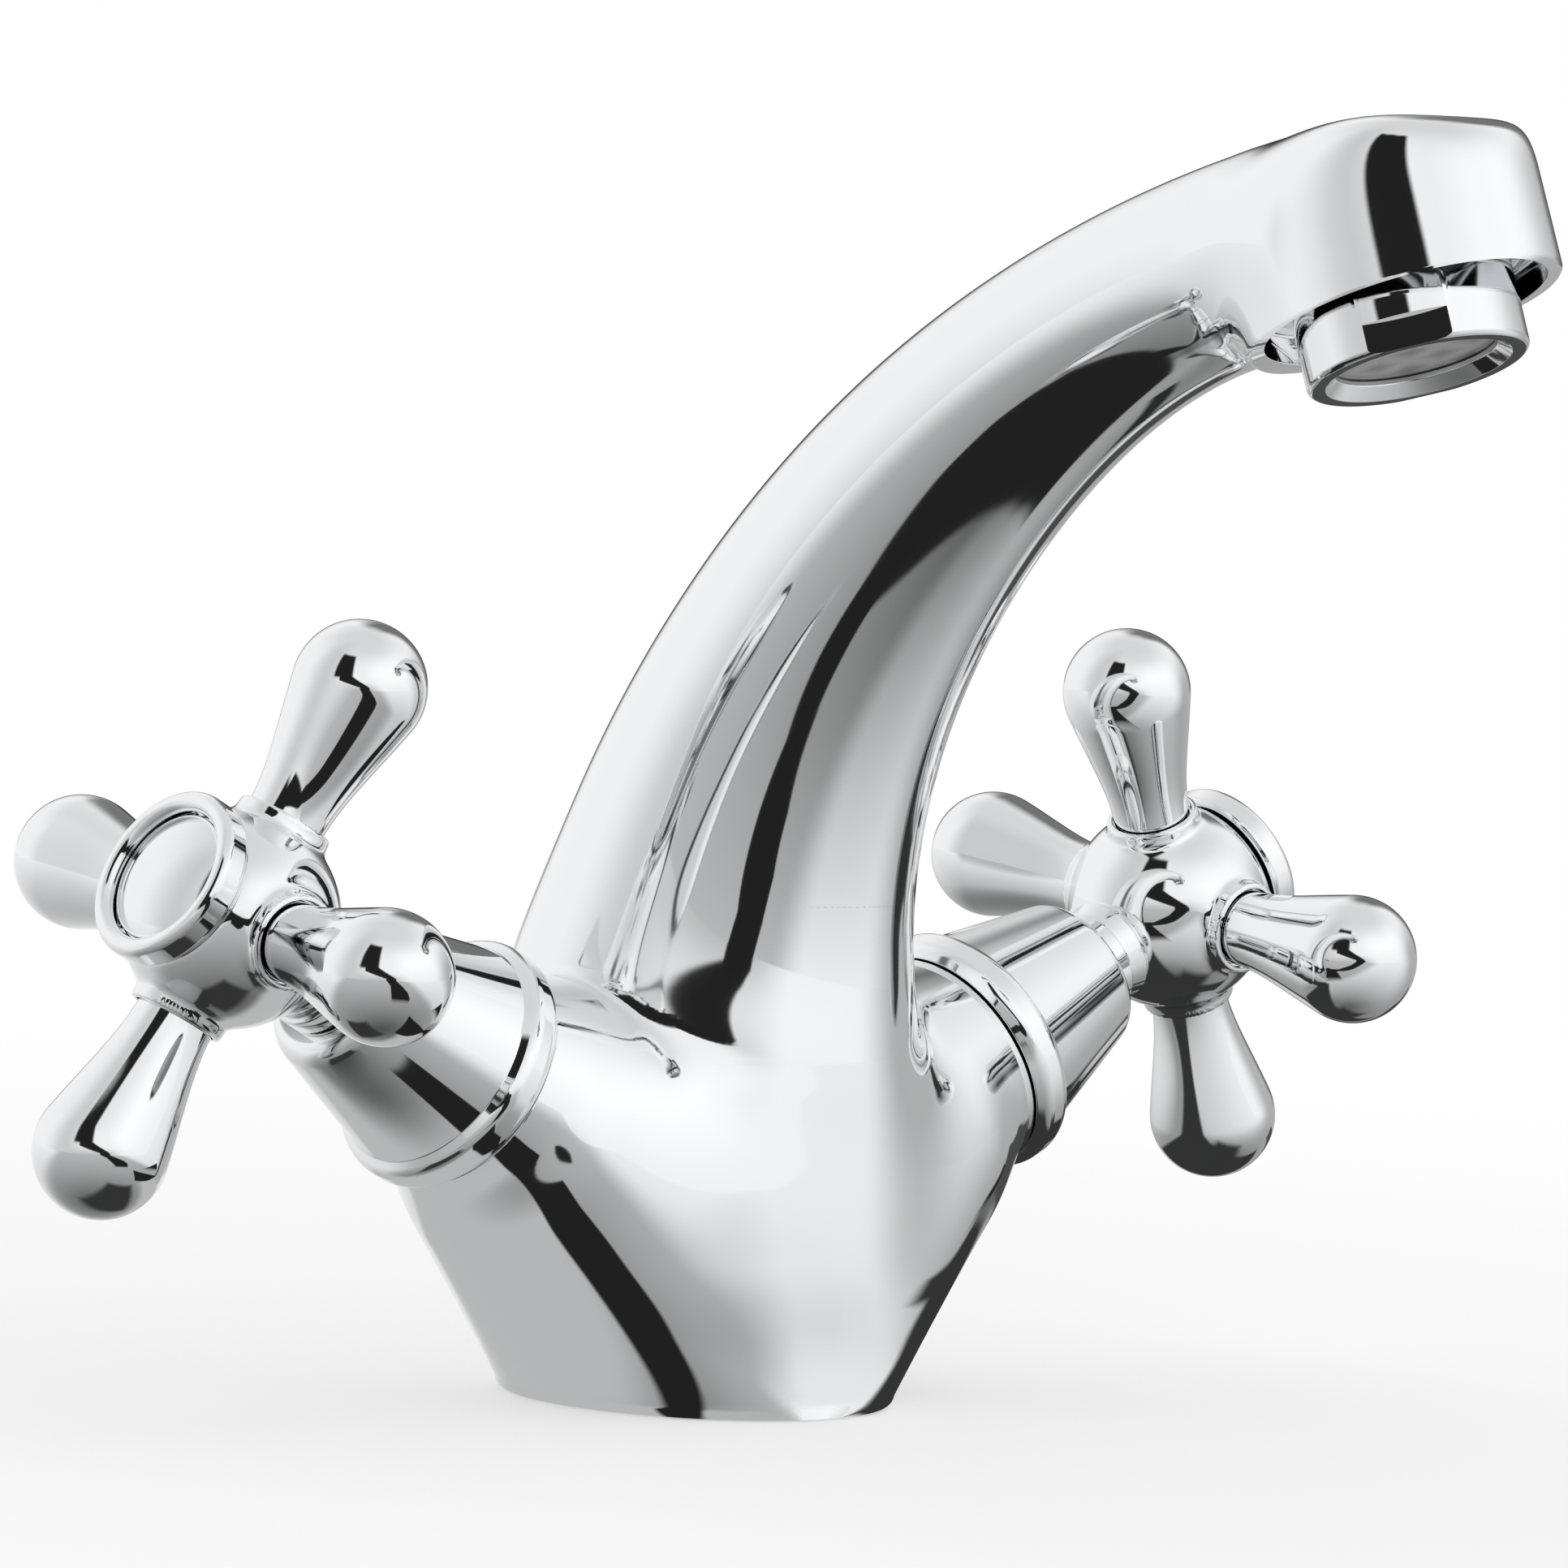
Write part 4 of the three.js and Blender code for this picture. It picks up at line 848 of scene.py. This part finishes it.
def capPieces(name, side):
    p = capSizes
    inner = p["buttonRadius"] + p["gap"]
    outer = inner + p["ringWall"]
    top = p["low"] + p["ringHeight"]
    skirt = p["skirtRadius"] - p["skirtWall"]
    crest = p["ringWall"] / 2 - 0.02  # the two arcs of the crest all but meet
    ring = roundedProfile([
        (skirt, p["low"] - p["skirtLength"], 0.15), (p["skirtRadius"], p["low"] - p["skirtLength"], 0.15),
        (p["skirtRadius"], p["low"], 0.1), (outer, p["low"], 0.7), (outer, top, crest),
        (inner, top, crest), (inner, p["low"] + p["ledge"], 0.1), (skirt, p["low"] + p["ledge"], 0.1),
    ], True, 8)
    ringPiece = turnedPiece(name + "IndexRing", ring, valvePlace(side), 128)
    low = p["low"] + p["ledge"] + p["gap"]
    # the dome is a cap of a sphere, whose radius is (r^2 + rise^2) / (2 rise)
    domeRadius = (p["buttonRadius"]**2 + p["buttonDome"]**2) / (2 * p["buttonDome"])
    half = np.arcsin((p["buttonRadius"] - p["domeInset"]) / domeRadius)
    turn = np.linspace(half, 0, 40)
    crown = low + p["buttonEdge"] + p["buttonDome"]
    dome = np.stack([domeRadius * np.sin(turn), crown - domeRadius * (1 - np.cos(turn))], 1)
    edge = roundedProfile([
        (0, low, 0), (p["buttonRadius"], low, 0.15), (p["buttonRadius"], dome[0, 1] + 0.05, 0.3),
        (*dome[0], 0), (*dome[1], 0),
    ], False, 6)
    edge = [each[:-14] for each in edge]  # the dome begins in the last two corners' place
    profile = joinedProfile(edge, curveProfile(dome))
    button = turnedPiece(name + "IndexButton", profile, valvePlace(side), 128)
    for piece, node in ((ringPiece, "_index_ring"), (button, "_index_button")):
        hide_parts(name + node)
        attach(piece, name + "_handle")
    return [ringPiece, button]


# aerator: heights run up into the head from the outlet's rim
aeratorSizes = {
    "drop": -7.0,
    "radius": 12.86,
    "bore": 10.4,
    "lip": 1.1,
    "lipHeight": 2.0,
    "throat": 0.6,
    "throatFlare": 1.5,
    "threadRadius": 11.9,
    "threadLow": 3.2,
    "threadTop": 10.5,
    "flatDepth": 0.95,
    "flatHeight": 3.6,
    "seatGap": 0.3,
    "slipGap": 0.3,
    "screenRim": 0.7,
    "screenHeight": 0.6,
    "screenSag": 0.12,
    "flatHeading": -139.0,
    "flatCut": (6.0, 12.0, 2.0),  # the cutter's thickness, half width, and reach below the housing
    "sharpAngle": 8.0,
}


def aeratorPiece():
    a = aeratorSizes
    place = outletPlace()
    low = a["drop"]
    throat = a["bore"] - a["lip"]
    corners = [
        (throat + a["throatFlare"], low, 0.2), (a["radius"] - 0.35, low, 0.5), (a["radius"], low + 0.5, 0.6),
        (a["radius"], a["threadLow"], 0.3), (a["threadRadius"], a["threadLow"], 0.1),
        (a["threadRadius"], a["threadTop"], 0.3), (a["bore"], a["threadTop"], 0.2),
        (a["bore"], low + a["lipHeight"], 0.1), (throat, low + a["lipHeight"], 0.15),
        (throat, low + a["lipHeight"] - a["throat"], 0.3),
    ]
    piece = turnedPiece("aeratorHousing", roundedProfile(corners, True, 6), place, 144)
    cutters = []
    thick, half, below = a["flatCut"]
    reach = a["radius"] - a["flatDepth"]
    plan = [(reach, -half), (reach, half), (reach + thick, half), (reach + thick, -half)]
    faces = [[0, 1, 2, 3], [7, 6, 5, 4], [4, 5, 1, 0], [5, 6, 2, 1], [6, 7, 3, 2], [7, 4, 0, 3]]
    for turned in (0, pi):
        angle = radians(a["flatHeading"]) + turned
        outward = cos(angle) * place[0][0] + sin(angle) * place[0][1]
        along = cos(angle) * place[0][1] - sin(angle) * place[0][0]
        points = np.array([
            place[1] + outward * x + along * y + place[0][2] * z
            for z in (low - below, low + a["flatHeight"]) for x, y in plan
        ])
        cutters.append(meshFrom("flatCut", points, faces))
    carve(piece, cutters)
    piece.data.shade_smooth()
    piece.data.set_sharp_from_angle(angle=radians(a["sharpAngle"]))
    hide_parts("aerator_housing")
    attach(piece, "fixed_body")
    return piece


def screenPiece():
    # woven disc in its rim, resting on the housing's lip
    a = aeratorSizes
    low = a["drop"] + a["lipHeight"] + a["seatGap"]
    radius, rim = a["bore"] - a["slipGap"], a["screenRim"]
    top = low + a["screenHeight"]
    profile = roundedProfile([
        (0, low + a["screenSag"], 0), (radius - rim, low + a["screenSag"], 0.1), (radius - rim, low, 0.1),
        (radius, low, 0.15), (radius, top, 0.15), (0, top, 0),
    ], False, 4)
    piece = turnedPiece("aeratorScreen", profile, outletPlace(), 128)
    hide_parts("aerator_screen")
    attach(piece, "fixed_body")
    return piece


def linearColour(hexText):
    # sRGB to linear: a part is divided by 12.92 near black, and raised to the power 2.4 above
    parts = np.array([int(hexText[i:i + 2], 16) / 255 for i in (1, 3, 5)])
    linear = np.where(parts <= 0.04045, parts / 12.92, ((parts + 0.055) / 1.055)**2.4)
    return (*linear.tolist(), 1.0)


def addNode(tree, kind, inputs=None, **settings):
    # one shader node with its settings; a socket is given a value, or linked to a node or its output
    node = tree.nodes.new("ShaderNode" + kind)
    for name, value in settings.items():
        setattr(node, name, value)
    for socket, value in (inputs or {}).items():
        if isinstance(value, bpy.types.Node):
            value = value.outputs[0]
        if isinstance(value, bpy.types.NodeSocket):
            tree.links.new(value, node.inputs[socket])
        else:
            node.inputs[socket].default_value = value
    return node


def newMaterial(name):
    material = bpy.data.materials.new(name)
    material.use_nodes = True
    tree = material.node_tree
    tree.nodes.clear()
    return material, tree, addNode(tree, "TexCoord").outputs["Object"]


chromeLook = {
    "colour": "#f0f1f2",
    "roughLow": 0.035,
    "roughHigh": 0.06,
    "hazeMm": 14.0,
    "rippleMm": 9.0,
    "rippleDepthMm": 0.3,
    "ripple": 0.012,
}


def polishedChrome():
    # decorative chromium over buffed brass: a mirror, with the faint long ripple of the buffing wheel
    look = chromeLook
    material, tree, where = newMaterial("polishedChromePlate")
    haze = addNode(tree, "TexNoise", {"Vector": where, "Scale": 1000 / look["hazeMm"], "Detail": 3.0})
    ripple = addNode(tree, "TexNoise", {
        "Vector": where, "Scale": 1000 / look["rippleMm"], "Detail": 1.0, "Roughness": 0.4,
    })
    bump = addNode(tree, "Bump", {
        "Strength": look["ripple"], "Distance": look["rippleDepthMm"] * mm, "Height": ripple.outputs["Fac"],
    })
    rough = addNode(tree, "MapRange", {
        "Value": haze.outputs["Fac"], "From Min": 0.3, "From Max": 0.7,
        "To Min": look["roughLow"], "To Max": look["roughHigh"],
    })
    shader = addNode(tree, "BsdfPrincipled", {
        "Base Color": linearColour(look["colour"]), "Metallic": 1.0, "Roughness": rough, "Normal": bump,
    })
    addNode(tree, "OutputMaterial", {"Surface": shader})
    return material


# inner pieces: base colours, metallic, roughness range, grain in mm and how strongly it shows
innerLooks = {
    "turnedBrass": ("#b9923f", "#a98236", 1.0, (0.24, 0.38), 0.5, 0.12),  # fine lathe marks, warm yellow
    "brightStainless": ("#b4b7ba", "#a6a9ac", 1.0, (0.2, 0.34), 0.4, 0.08),  # pressed strip, faint grain
    "nitrileRubber": ("#1b1b1c", "#252526", 0.0, (0.62, 0.8), 0.35, 0.3),  # moulded, matt, finely pocked
    "groundAlumina": ("#f1efe8", "#e6e3da", 0.0, (0.18, 0.3), 0.8, 0.04),  # lapped ceramic, creamy, satin
    "mouldedAcetal": ("#6a6c6e", "#5f6163", 0.0, (0.42, 0.55), 0.6, 0.1),  # moulded plastic, soft sheen
}


def innerMaterial(name):
    # two close colours in clouds of about 4 mm, which also carry the roughness, over a fine grain
    light, dark, metallic, (smooth, dull), grain, strength = innerLooks[name]
    material, tree, where = newMaterial(name)
    cloud = addNode(tree, "TexNoise", {"Vector": where, "Scale": 1000 / 4, "Detail": 4.0}).outputs["Fac"]
    fine = addNode(tree, "TexNoise", {"Vector": where, "Scale": 1000 / grain, "Detail": 2.0})
    tint = addNode(tree, "Mix", {
        "Factor": cloud, 6: linearColour(light), 7: linearColour(dark),
    }, data_type="RGBA")
    bump = addNode(tree, "Bump", {
        "Strength": strength, "Distance": 0.05 * mm, "Height": fine.outputs["Fac"],
    })
    rough = addNode(tree, "MapRange", {
        "Value": cloud, "From Min": 0.3, "From Max": 0.7, "To Min": smooth, "To Max": dull,
    })
    shader = addNode(tree, "BsdfPrincipled", {
        "Base Color": tint.outputs[2], "Metallic": metallic, "Roughness": rough, "Normal": bump,
    })
    addNode(tree, "OutputMaterial", {"Surface": shader})
    return material


screenLook = {
    "thread": "#cfcfcf",
    # the darker colour of the gaps between the threads is painted shade
    "hole": "#a6a6a6",
    "pitchMm": 5.0265,  # a real gauze has about 0.8 mm, too fine to show, so it is drawn coarser
    "threadDepthMm": 0.1,
    "threadBump": 0.3,
    "roughness": 0.5,
}


def wovenScreen():
    # plastic gauze: crossed threads, paler on top, and the gaps between them darker as painted shade; at a
    # scale of 1 the wave repeats every 2 pi / 20 m
    look = screenLook
    material, tree, where = newMaterial("wovenScreen")
    scale = fullTurn / 20 / (look["pitchMm"] * mm)
    waves = [
        addNode(tree, "TexWave", {"Vector": where, "Scale": scale}, bands_direction=direction).outputs["Fac"]
        for direction in ("X", "Y")
    ]
    thread = addNode(tree, "Math", {0: waves[0], 1: waves[1]}, operation="MAXIMUM")
    colour = addNode(tree, "Mix", {
        "Factor": thread, 6: linearColour(look["hole"]), 7: linearColour(look["thread"]),
    }, data_type="RGBA")
    bump = addNode(tree, "Bump", {
        "Strength": look["threadBump"], "Distance": look["threadDepthMm"] * mm, "Height": thread,
    })
    shader = addNode(tree, "BsdfPrincipled", {
        "Base Color": colour.outputs[2], "Roughness": look["roughness"], "Normal": bump,
    })
    addNode(tree, "OutputMaterial", {"Surface": shader})
    return material


# camera: the way it looks back from, and its roll, in degrees; distance, aim and shifts in mm
cameraLook = {
    "heading": -42.489,
    "height": 3.612,
    "roll": 3.175,
    "distance": 1219.15,
    "aimHeight": 80.0,
    "shiftAside": 6.566,
    "shiftUp": -5.443,
    "focal": 231.19,
}


def makeCamera():
    look = cameraLook
    heading, height, roll = (radians(look[key]) for key in ("heading", "height", "roll"))
    back = np.array([sin(heading) * cos(height), -cos(heading) * cos(height), sin(height)])
    right = np.array([cos(heading), sin(heading), 0])
    up = np.cross(back, right)
    axes = np.array([right * cos(roll) + up * sin(roll), up * cos(roll) - right * sin(roll), back])
    place = np.array([0, 0, look["aimHeight"]])
    place = place + np.array([look["shiftAside"], look["shiftUp"], look["distance"]]) @ axes
    data = bpy.data.cameras.new("studioCamera")
    data.lens = look["focal"]
    data.sensor_width = 36.0
    data.clip_start = 0.05
    data.clip_end = 50.0
    camera = addObject("studioCamera", data)
    matrix = Matrix(axes.T.tolist()).to_4x4()
    matrix.translation = (place * mm).tolist()
    camera.matrix_world = matrix
    bpy.context.scene.camera = camera


# a white tent over a pale floor, with the dark gaps that polished metal shows. What the metal sees
# beyond the floor: headings run from the front (-Y) towards +X and heights from the horizon, both in
# degrees; then how soft the edges are, and how bright the metal looks there, 0 to 255
tentLook = {
    "level": 238,
    "patches": {
        "roof": (-400, 400, 52, 120, 10, 24, 212),
        "leftSide": (-115, -10, -60, 6, 14, 9, 184),
        "leftWall": (-126, -80, -60, 70, 24, 20, 200),
        "keyLight": (-18, 58, 10, 42, 22, 18, 253),
        "rightSide": (66, 150, -60, 20, 20, 16, 172),
        "rightGap": (110, 138, -60, 52, 8, 12, 112),
        "behind": (123, 152, -60, 11, 7, 6, 60),
        "stripGap": (-87, -53, 17, 56, 2.5, 2.5, 32),
    },
    # a dark opening that rises to the left: corners by heading and height, anticlockwise
    "openings": [
        [(-39.5, -60), (-22.7, -60), (-22.7, 2), (-26, 5), (-39.5, 12)],
        [(-38, 2.2), (-26, 4.5), (-53, 20), (-76, 20), (-76, 12.5)],
    ],
    "openingLevel": 32,
    "openingSoft": 0.7,
}

# the floor: what the camera sees of it, and what the metal sees, which is a painted reflection: dark
# patches as corners in mm, anticlockwise from above, with the softness of their edges, their level, and
# whether they are seen from everywhere, only from near them (the body), or only from far (the spout and
# handles); those at the foot, under the handles and under the spout are painted shade, and the strips
# in front, the patch behind on the right and the line on the right are painted dark reflections
floorLook = {
    "size": 6.0,
    "below": 0.1,
    "colour": "#c6c6c6",
    "lift": 0.5,
    "fadeStart": 0.12,
    "fadeEnd": 0.5,
    # the metal sees the floor darker the steeper it looks down, a painted shade under the object
    "steepTone": 0.15,
    "flatTone": 0.8,
    "fall": 0.6,
    "farReach": (0.09, 0.11),
    # painted shade on the sides by heading: from, to, softness in degrees, and how much light is left
    "sides": {
        "left": (-115, -2, 12, 0.56),
        "right": (68, 145, 18, 0.5),
    },
    "patches": {
        "leftOfFoot": ([(-18, -14), (-18, 55), (-60, 55), (-60, -40)], 7.0, 180, "near"),
        "underHot": ([(-104, -28), (-74, -28), (-70, 8), (-104, 8)], 4.0, 50, "near"),
        "underCold": ([(72, -28), (104, -28), (104, 14), (72, 14)], 6.0, 50, "near"),
        "besideFoot": (
            [(-14, -14), (-43, -24), (-68, -36), (-64, -74), (-37, -47), (-14, -17.5)], 0.8, 32, "all",
        ),
        "behindFoot": ([(10, -28), (140, -5), (110, 73), (4, -10)], 3.0, 50, "near"),
        "behindRight": ([(120, -4), (280, 22), (260, 110), (140, 90)], 8.0, 70, "far"),
        "underSpout": (
            [(-130, -17), (-151, -24), (-149, -36), (-122, -64), (-100, -78), (-60, -77), (0, -70.5),
             (30, -66), (68, -56), (24, -28.5)], 1.5, 32, "far",
        ),
        "frontStrip": ([(-80, -60), (-124, -60), (-123, -76), (-114, -112), (-76, -116)], 1.5, 32, "far"),
        "frontNear": (
            [(-113, -98), (-300, -380), (-155, -380), (-124, -303), (-86, -206), (-72, -141), (-76, -98)],
            1.5, 32, "far",
        ),
        "frontFar": ([(-290, -365), (-2440, -3000), (-1262, -3000), (-148, -365)], 4.0, 32, "far"),
        "rightLine": ([(60, -30), (195, 2), (190, 14), (60, -20)], 2.0, 40, "far"),
    },
}


def metalLevel(level):
    # the brightness to give a thing so that chrome shows it at this sRGB level
    return linearColour("#%02x%02x%02x" % ((int(level),) * 3))[0] / linearColour(chromeLook["colour"])[0]


def bandMask(tree, value, low, high, soft):
    # 1 between two values and 0 outside, eased over twice the softness at both ends
    off = addNode(tree, "Math", {0: value, 1: (low + high) / 2}, operation="SUBTRACT")
    size = addNode(tree, "Math", {0: off}, operation="ABSOLUTE")
    half = (high - low) / 2
    return addNode(tree, "MapRange", {
        "Value": size, "From Min": half + soft, "From Max": half - soft,
    }, interpolation_type="SMOOTHSTEP")


def polygonMask(tree, x, y, corners, soft):
    # 1 inside a convex polygon: the least of the distances inward from its sides, eased across them
    runs = unit(np.roll(corners, -1, axis=0) - corners)
    least = 1.0
    for (startX, startY), (runX, runY) in zip(corners.tolist(), runs.tolist()):
        part = {0: y, 1: runX, 2: runY * startX - runX * startY}
        part = addNode(tree, "Math", part, operation="MULTIPLY_ADD")
        inward = addNode(tree, "Math", {0: x, 1: -runY, 2: part}, operation="MULTIPLY_ADD")
        least = addNode(tree, "Math", {0: inward, 1: least}, operation="MINIMUM")
    return addNode(tree, "MapRange", {
        "Value": least, "From Min": -soft, "From Max": soft,
    }, interpolation_type="SMOOTHSTEP")


def headingOf(tree, parts):
    # the angle of (X, -Y), in degrees from the front
    front = addNode(tree, "Math", {0: parts["Y"], 1: -1.0}, operation="MULTIPLY")
    angle = addNode(tree, "Math", {0: parts["X"], 1: front}, operation="ARCTAN2")
    return addNode(tree, "Math", {0: angle}, operation="DEGREES")


def makeWorld():
    world = bpy.data.worlds.new("whiteTent")
    bpy.context.scene.world = world
    world.use_nodes = True
    tree = world.node_tree
    tree.nodes.clear()
    way = addNode(tree, "TexCoord").outputs["Generated"]
    parts = addNode(tree, "SeparateXYZ", {"Vector": way}).outputs
    heading = headingOf(tree, parts)
    height = addNode(tree, "Math", {0: parts["Z"]}, operation="ARCSINE")
    height = addNode(tree, "Math", {0: height}, operation="DEGREES")
    tone = metalLevel(tentLook["level"])
    for left, right, low, high, softAside, softUp, level in tentLook["patches"].values():
        aside = bandMask(tree, heading, left, right, softAside)
        upward = bandMask(tree, height, low, high, softUp)
        share = addNode(tree, "Math", {0: aside, 1: upward}, operation="MULTIPLY")
        tone = addNode(tree, "Mix", {"Factor": share, "A": tone, "B": metalLevel(level)})
    dark = metalLevel(tentLook["openingLevel"])
    for corners in tentLook["openings"]:
        share = polygonMask(tree, heading, height, np.array(corners, float), tentLook["openingSoft"])
        tone = addNode(tree, "Mix", {"Factor": share, "A": tone, "B": dark})
    seen = addNode(tree, "LightPath").outputs
    strength = addNode(tree, "Mix", {"Factor": seen["Is Camera Ray"], "A": tone, "B": 1.0})
    background = addNode(tree, "Background", {"Color": (1, 1, 1, 1), "Strength": strength})
    addNode(tree, "OutputWorld", {"Surface": background})


def makeFloor():
    look = floorLook
    half = look["size"] / 2
    low = -look["below"] * mm
    mesh = bpy.data.meshes.new("studioFloor")
    corners = [(-half, -half, low), (half, -half, low), (half, half, low), (-half, half, low)]
    mesh.from_pydata(corners, [], [(0, 1, 2, 3)])
    floor = addObject("studioFloor", mesh)
    material, tree, where = newMaterial("paleFloor")
    parts = addNode(tree, "SeparateXYZ", {"Vector": where}).outputs
    seen = addNode(tree, "LightPath").outputs
    far = addNode(tree, "MapRange", {
        "Value": seen["Ray Length"], "From Min": look["farReach"][0], "From Max": look["farReach"][1],
    })
    near = addNode(tree, "Math", {0: 1.0, 1: far}, operation="SUBTRACT")
    reached = {"all": 1.0, "near": near, "far": far}

    # seen in the metal, a painted reflection: bright towards the horizon and darker the steeper the look
    # down, which is painted shade under the object, then the patches of painted shade and painted dark
    # reflections
    facing = addNode(tree, "LayerWeight", {"Blend": 0.5}).outputs["Facing"]
    rise = addNode(tree, "Math", {0: facing, 1: look["fall"]}, operation="POWER")
    tone = {0: rise, 1: look["flatTone"], 2: look["steepTone"]}
    tone = addNode(tree, "Math", tone, operation="MULTIPLY_ADD")
    heading = headingOf(tree, parts)
    for left, right, soft, remains in look["sides"].values():
        shaded = addNode(tree, "Math", {0: tone, 1: remains}, operation="MULTIPLY")
        share = bandMask(tree, heading, left, right, soft)
        tone = addNode(tree, "Mix", {"Factor": share, "A": tone, "B": shaded})
    for corners, soft, level, reach in look["patches"].values():
        inside = polygonMask(tree, parts["X"], parts["Y"], np.array(corners) * mm, soft * mm)
        share = addNode(tree, "Math", {0: inside, 1: reached[reach]}, operation="MULTIPLY")
        tone = addNode(tree, "Mix", {"Factor": share, "A": tone, "B": metalLevel(level)})
    paintedReflection = addNode(tree, "Emission", {"Color": (1, 1, 1, 1), "Strength": tone})

    # seen by the camera: a soft shadow lifted towards white, plain white further out
    away = addNode(tree, "VectorMath", {0: where}, operation="LENGTH").outputs["Value"]
    fade = addNode(tree, "MapRange", {
        "Value": away, "From Min": look["fadeStart"], "From Max": look["fadeEnd"],
    }, interpolation_type="SMOOTHSTEP")
    plain = addNode(tree, "BsdfDiffuse", {"Color": linearColour(look["colour"])})
    lift = addNode(tree, "Emission", {"Color": (1, 1, 1, 1), "Strength": look["lift"]})
    lifted = addNode(tree, "AddShader", {0: plain, 1: lift})
    white = addNode(tree, "Emission", {"Color": (1, 1, 1, 1), "Strength": 1.0})
    shown = addNode(tree, "MixShader", {0: fade, 1: lifted, 2: white})

    # everything else, such as the light it throws back, meets the plain floor
    direct = addNode(tree, "MixShader", {0: seen["Is Camera Ray"], 1: plain, 2: shown})
    glossy = {0: seen["Is Glossy Ray"], 1: seen["Is Transmission Ray"]}
    mirrored = addNode(tree, "Math", glossy, operation="MAXIMUM")
    # glossy and transmission rays meet the painted reflection, with its painted shade and dark strips
    shader = addNode(tree, "MixShader", {0: mirrored, 1: direct, 2: paintedReflection})
    addNode(tree, "OutputMaterial", {"Surface": shader})
    mesh.materials.append(material)


makeCamera()
makeWorld()
makeFloor()
print("camera and studio")

chrome = polishedChrome()
inner = {name: innerMaterial(name) for name in innerLooks}
print("materials")

pieces = [castingPiece()]
print("casting:", len(pieces[0].data.polygons), "faces")
for name, side in (("hot", -1), ("cold", 1)):
    pieces.append(bellPiece(name, side))
    pieces.append(hubPiece(name, side))
    pieces += [armPiece(name, side, quarter) for quarter in range(4)]
    pieces += capPieces(name, side)
    print(name, "valve and handle")
pieces.append(aeratorPiece())
for piece in pieces:
    piece.data.materials.clear()
    piece.data.materials.append(chrome)
pieces.append(screenPiece())
pieces[-1].data.materials.append(wovenScreen())
print("aerator and screen")

nodeMaterials = {
    "valve_body": "turnedBrass",
    "spindle": "turnedBrass",
    "circlip": "brightStainless",
    "handle_screw": "brightStainless",
    "bonnet_seal": "nitrileRubber",
    "seat_gasket": "nitrileRubber",
    "spindle_oring": "nitrileRubber",
    "base_seal": "nitrileRubber",
    "aerator_washer": "nitrileRubber",
    "fixed_disc": "groundAlumina",
    "moving_disc": "groundAlumina",
    "aerator_screen": "mouldedAcetal",
    "aerator_insert": "mouldedAcetal",
}
for name, node in nodes.items():
    kind = nodeMaterials.get(name.replace("hot_", "").replace("cold_", ""))
    for slot in node.material_slots:
        slot.material = inner[kind] if kind else chrome
print("inner nodes painted")

bpy.context.scene.view_settings.view_transform = "Standard"
bpy.context.view_layer.update()
print("pieces:", len(pieces))
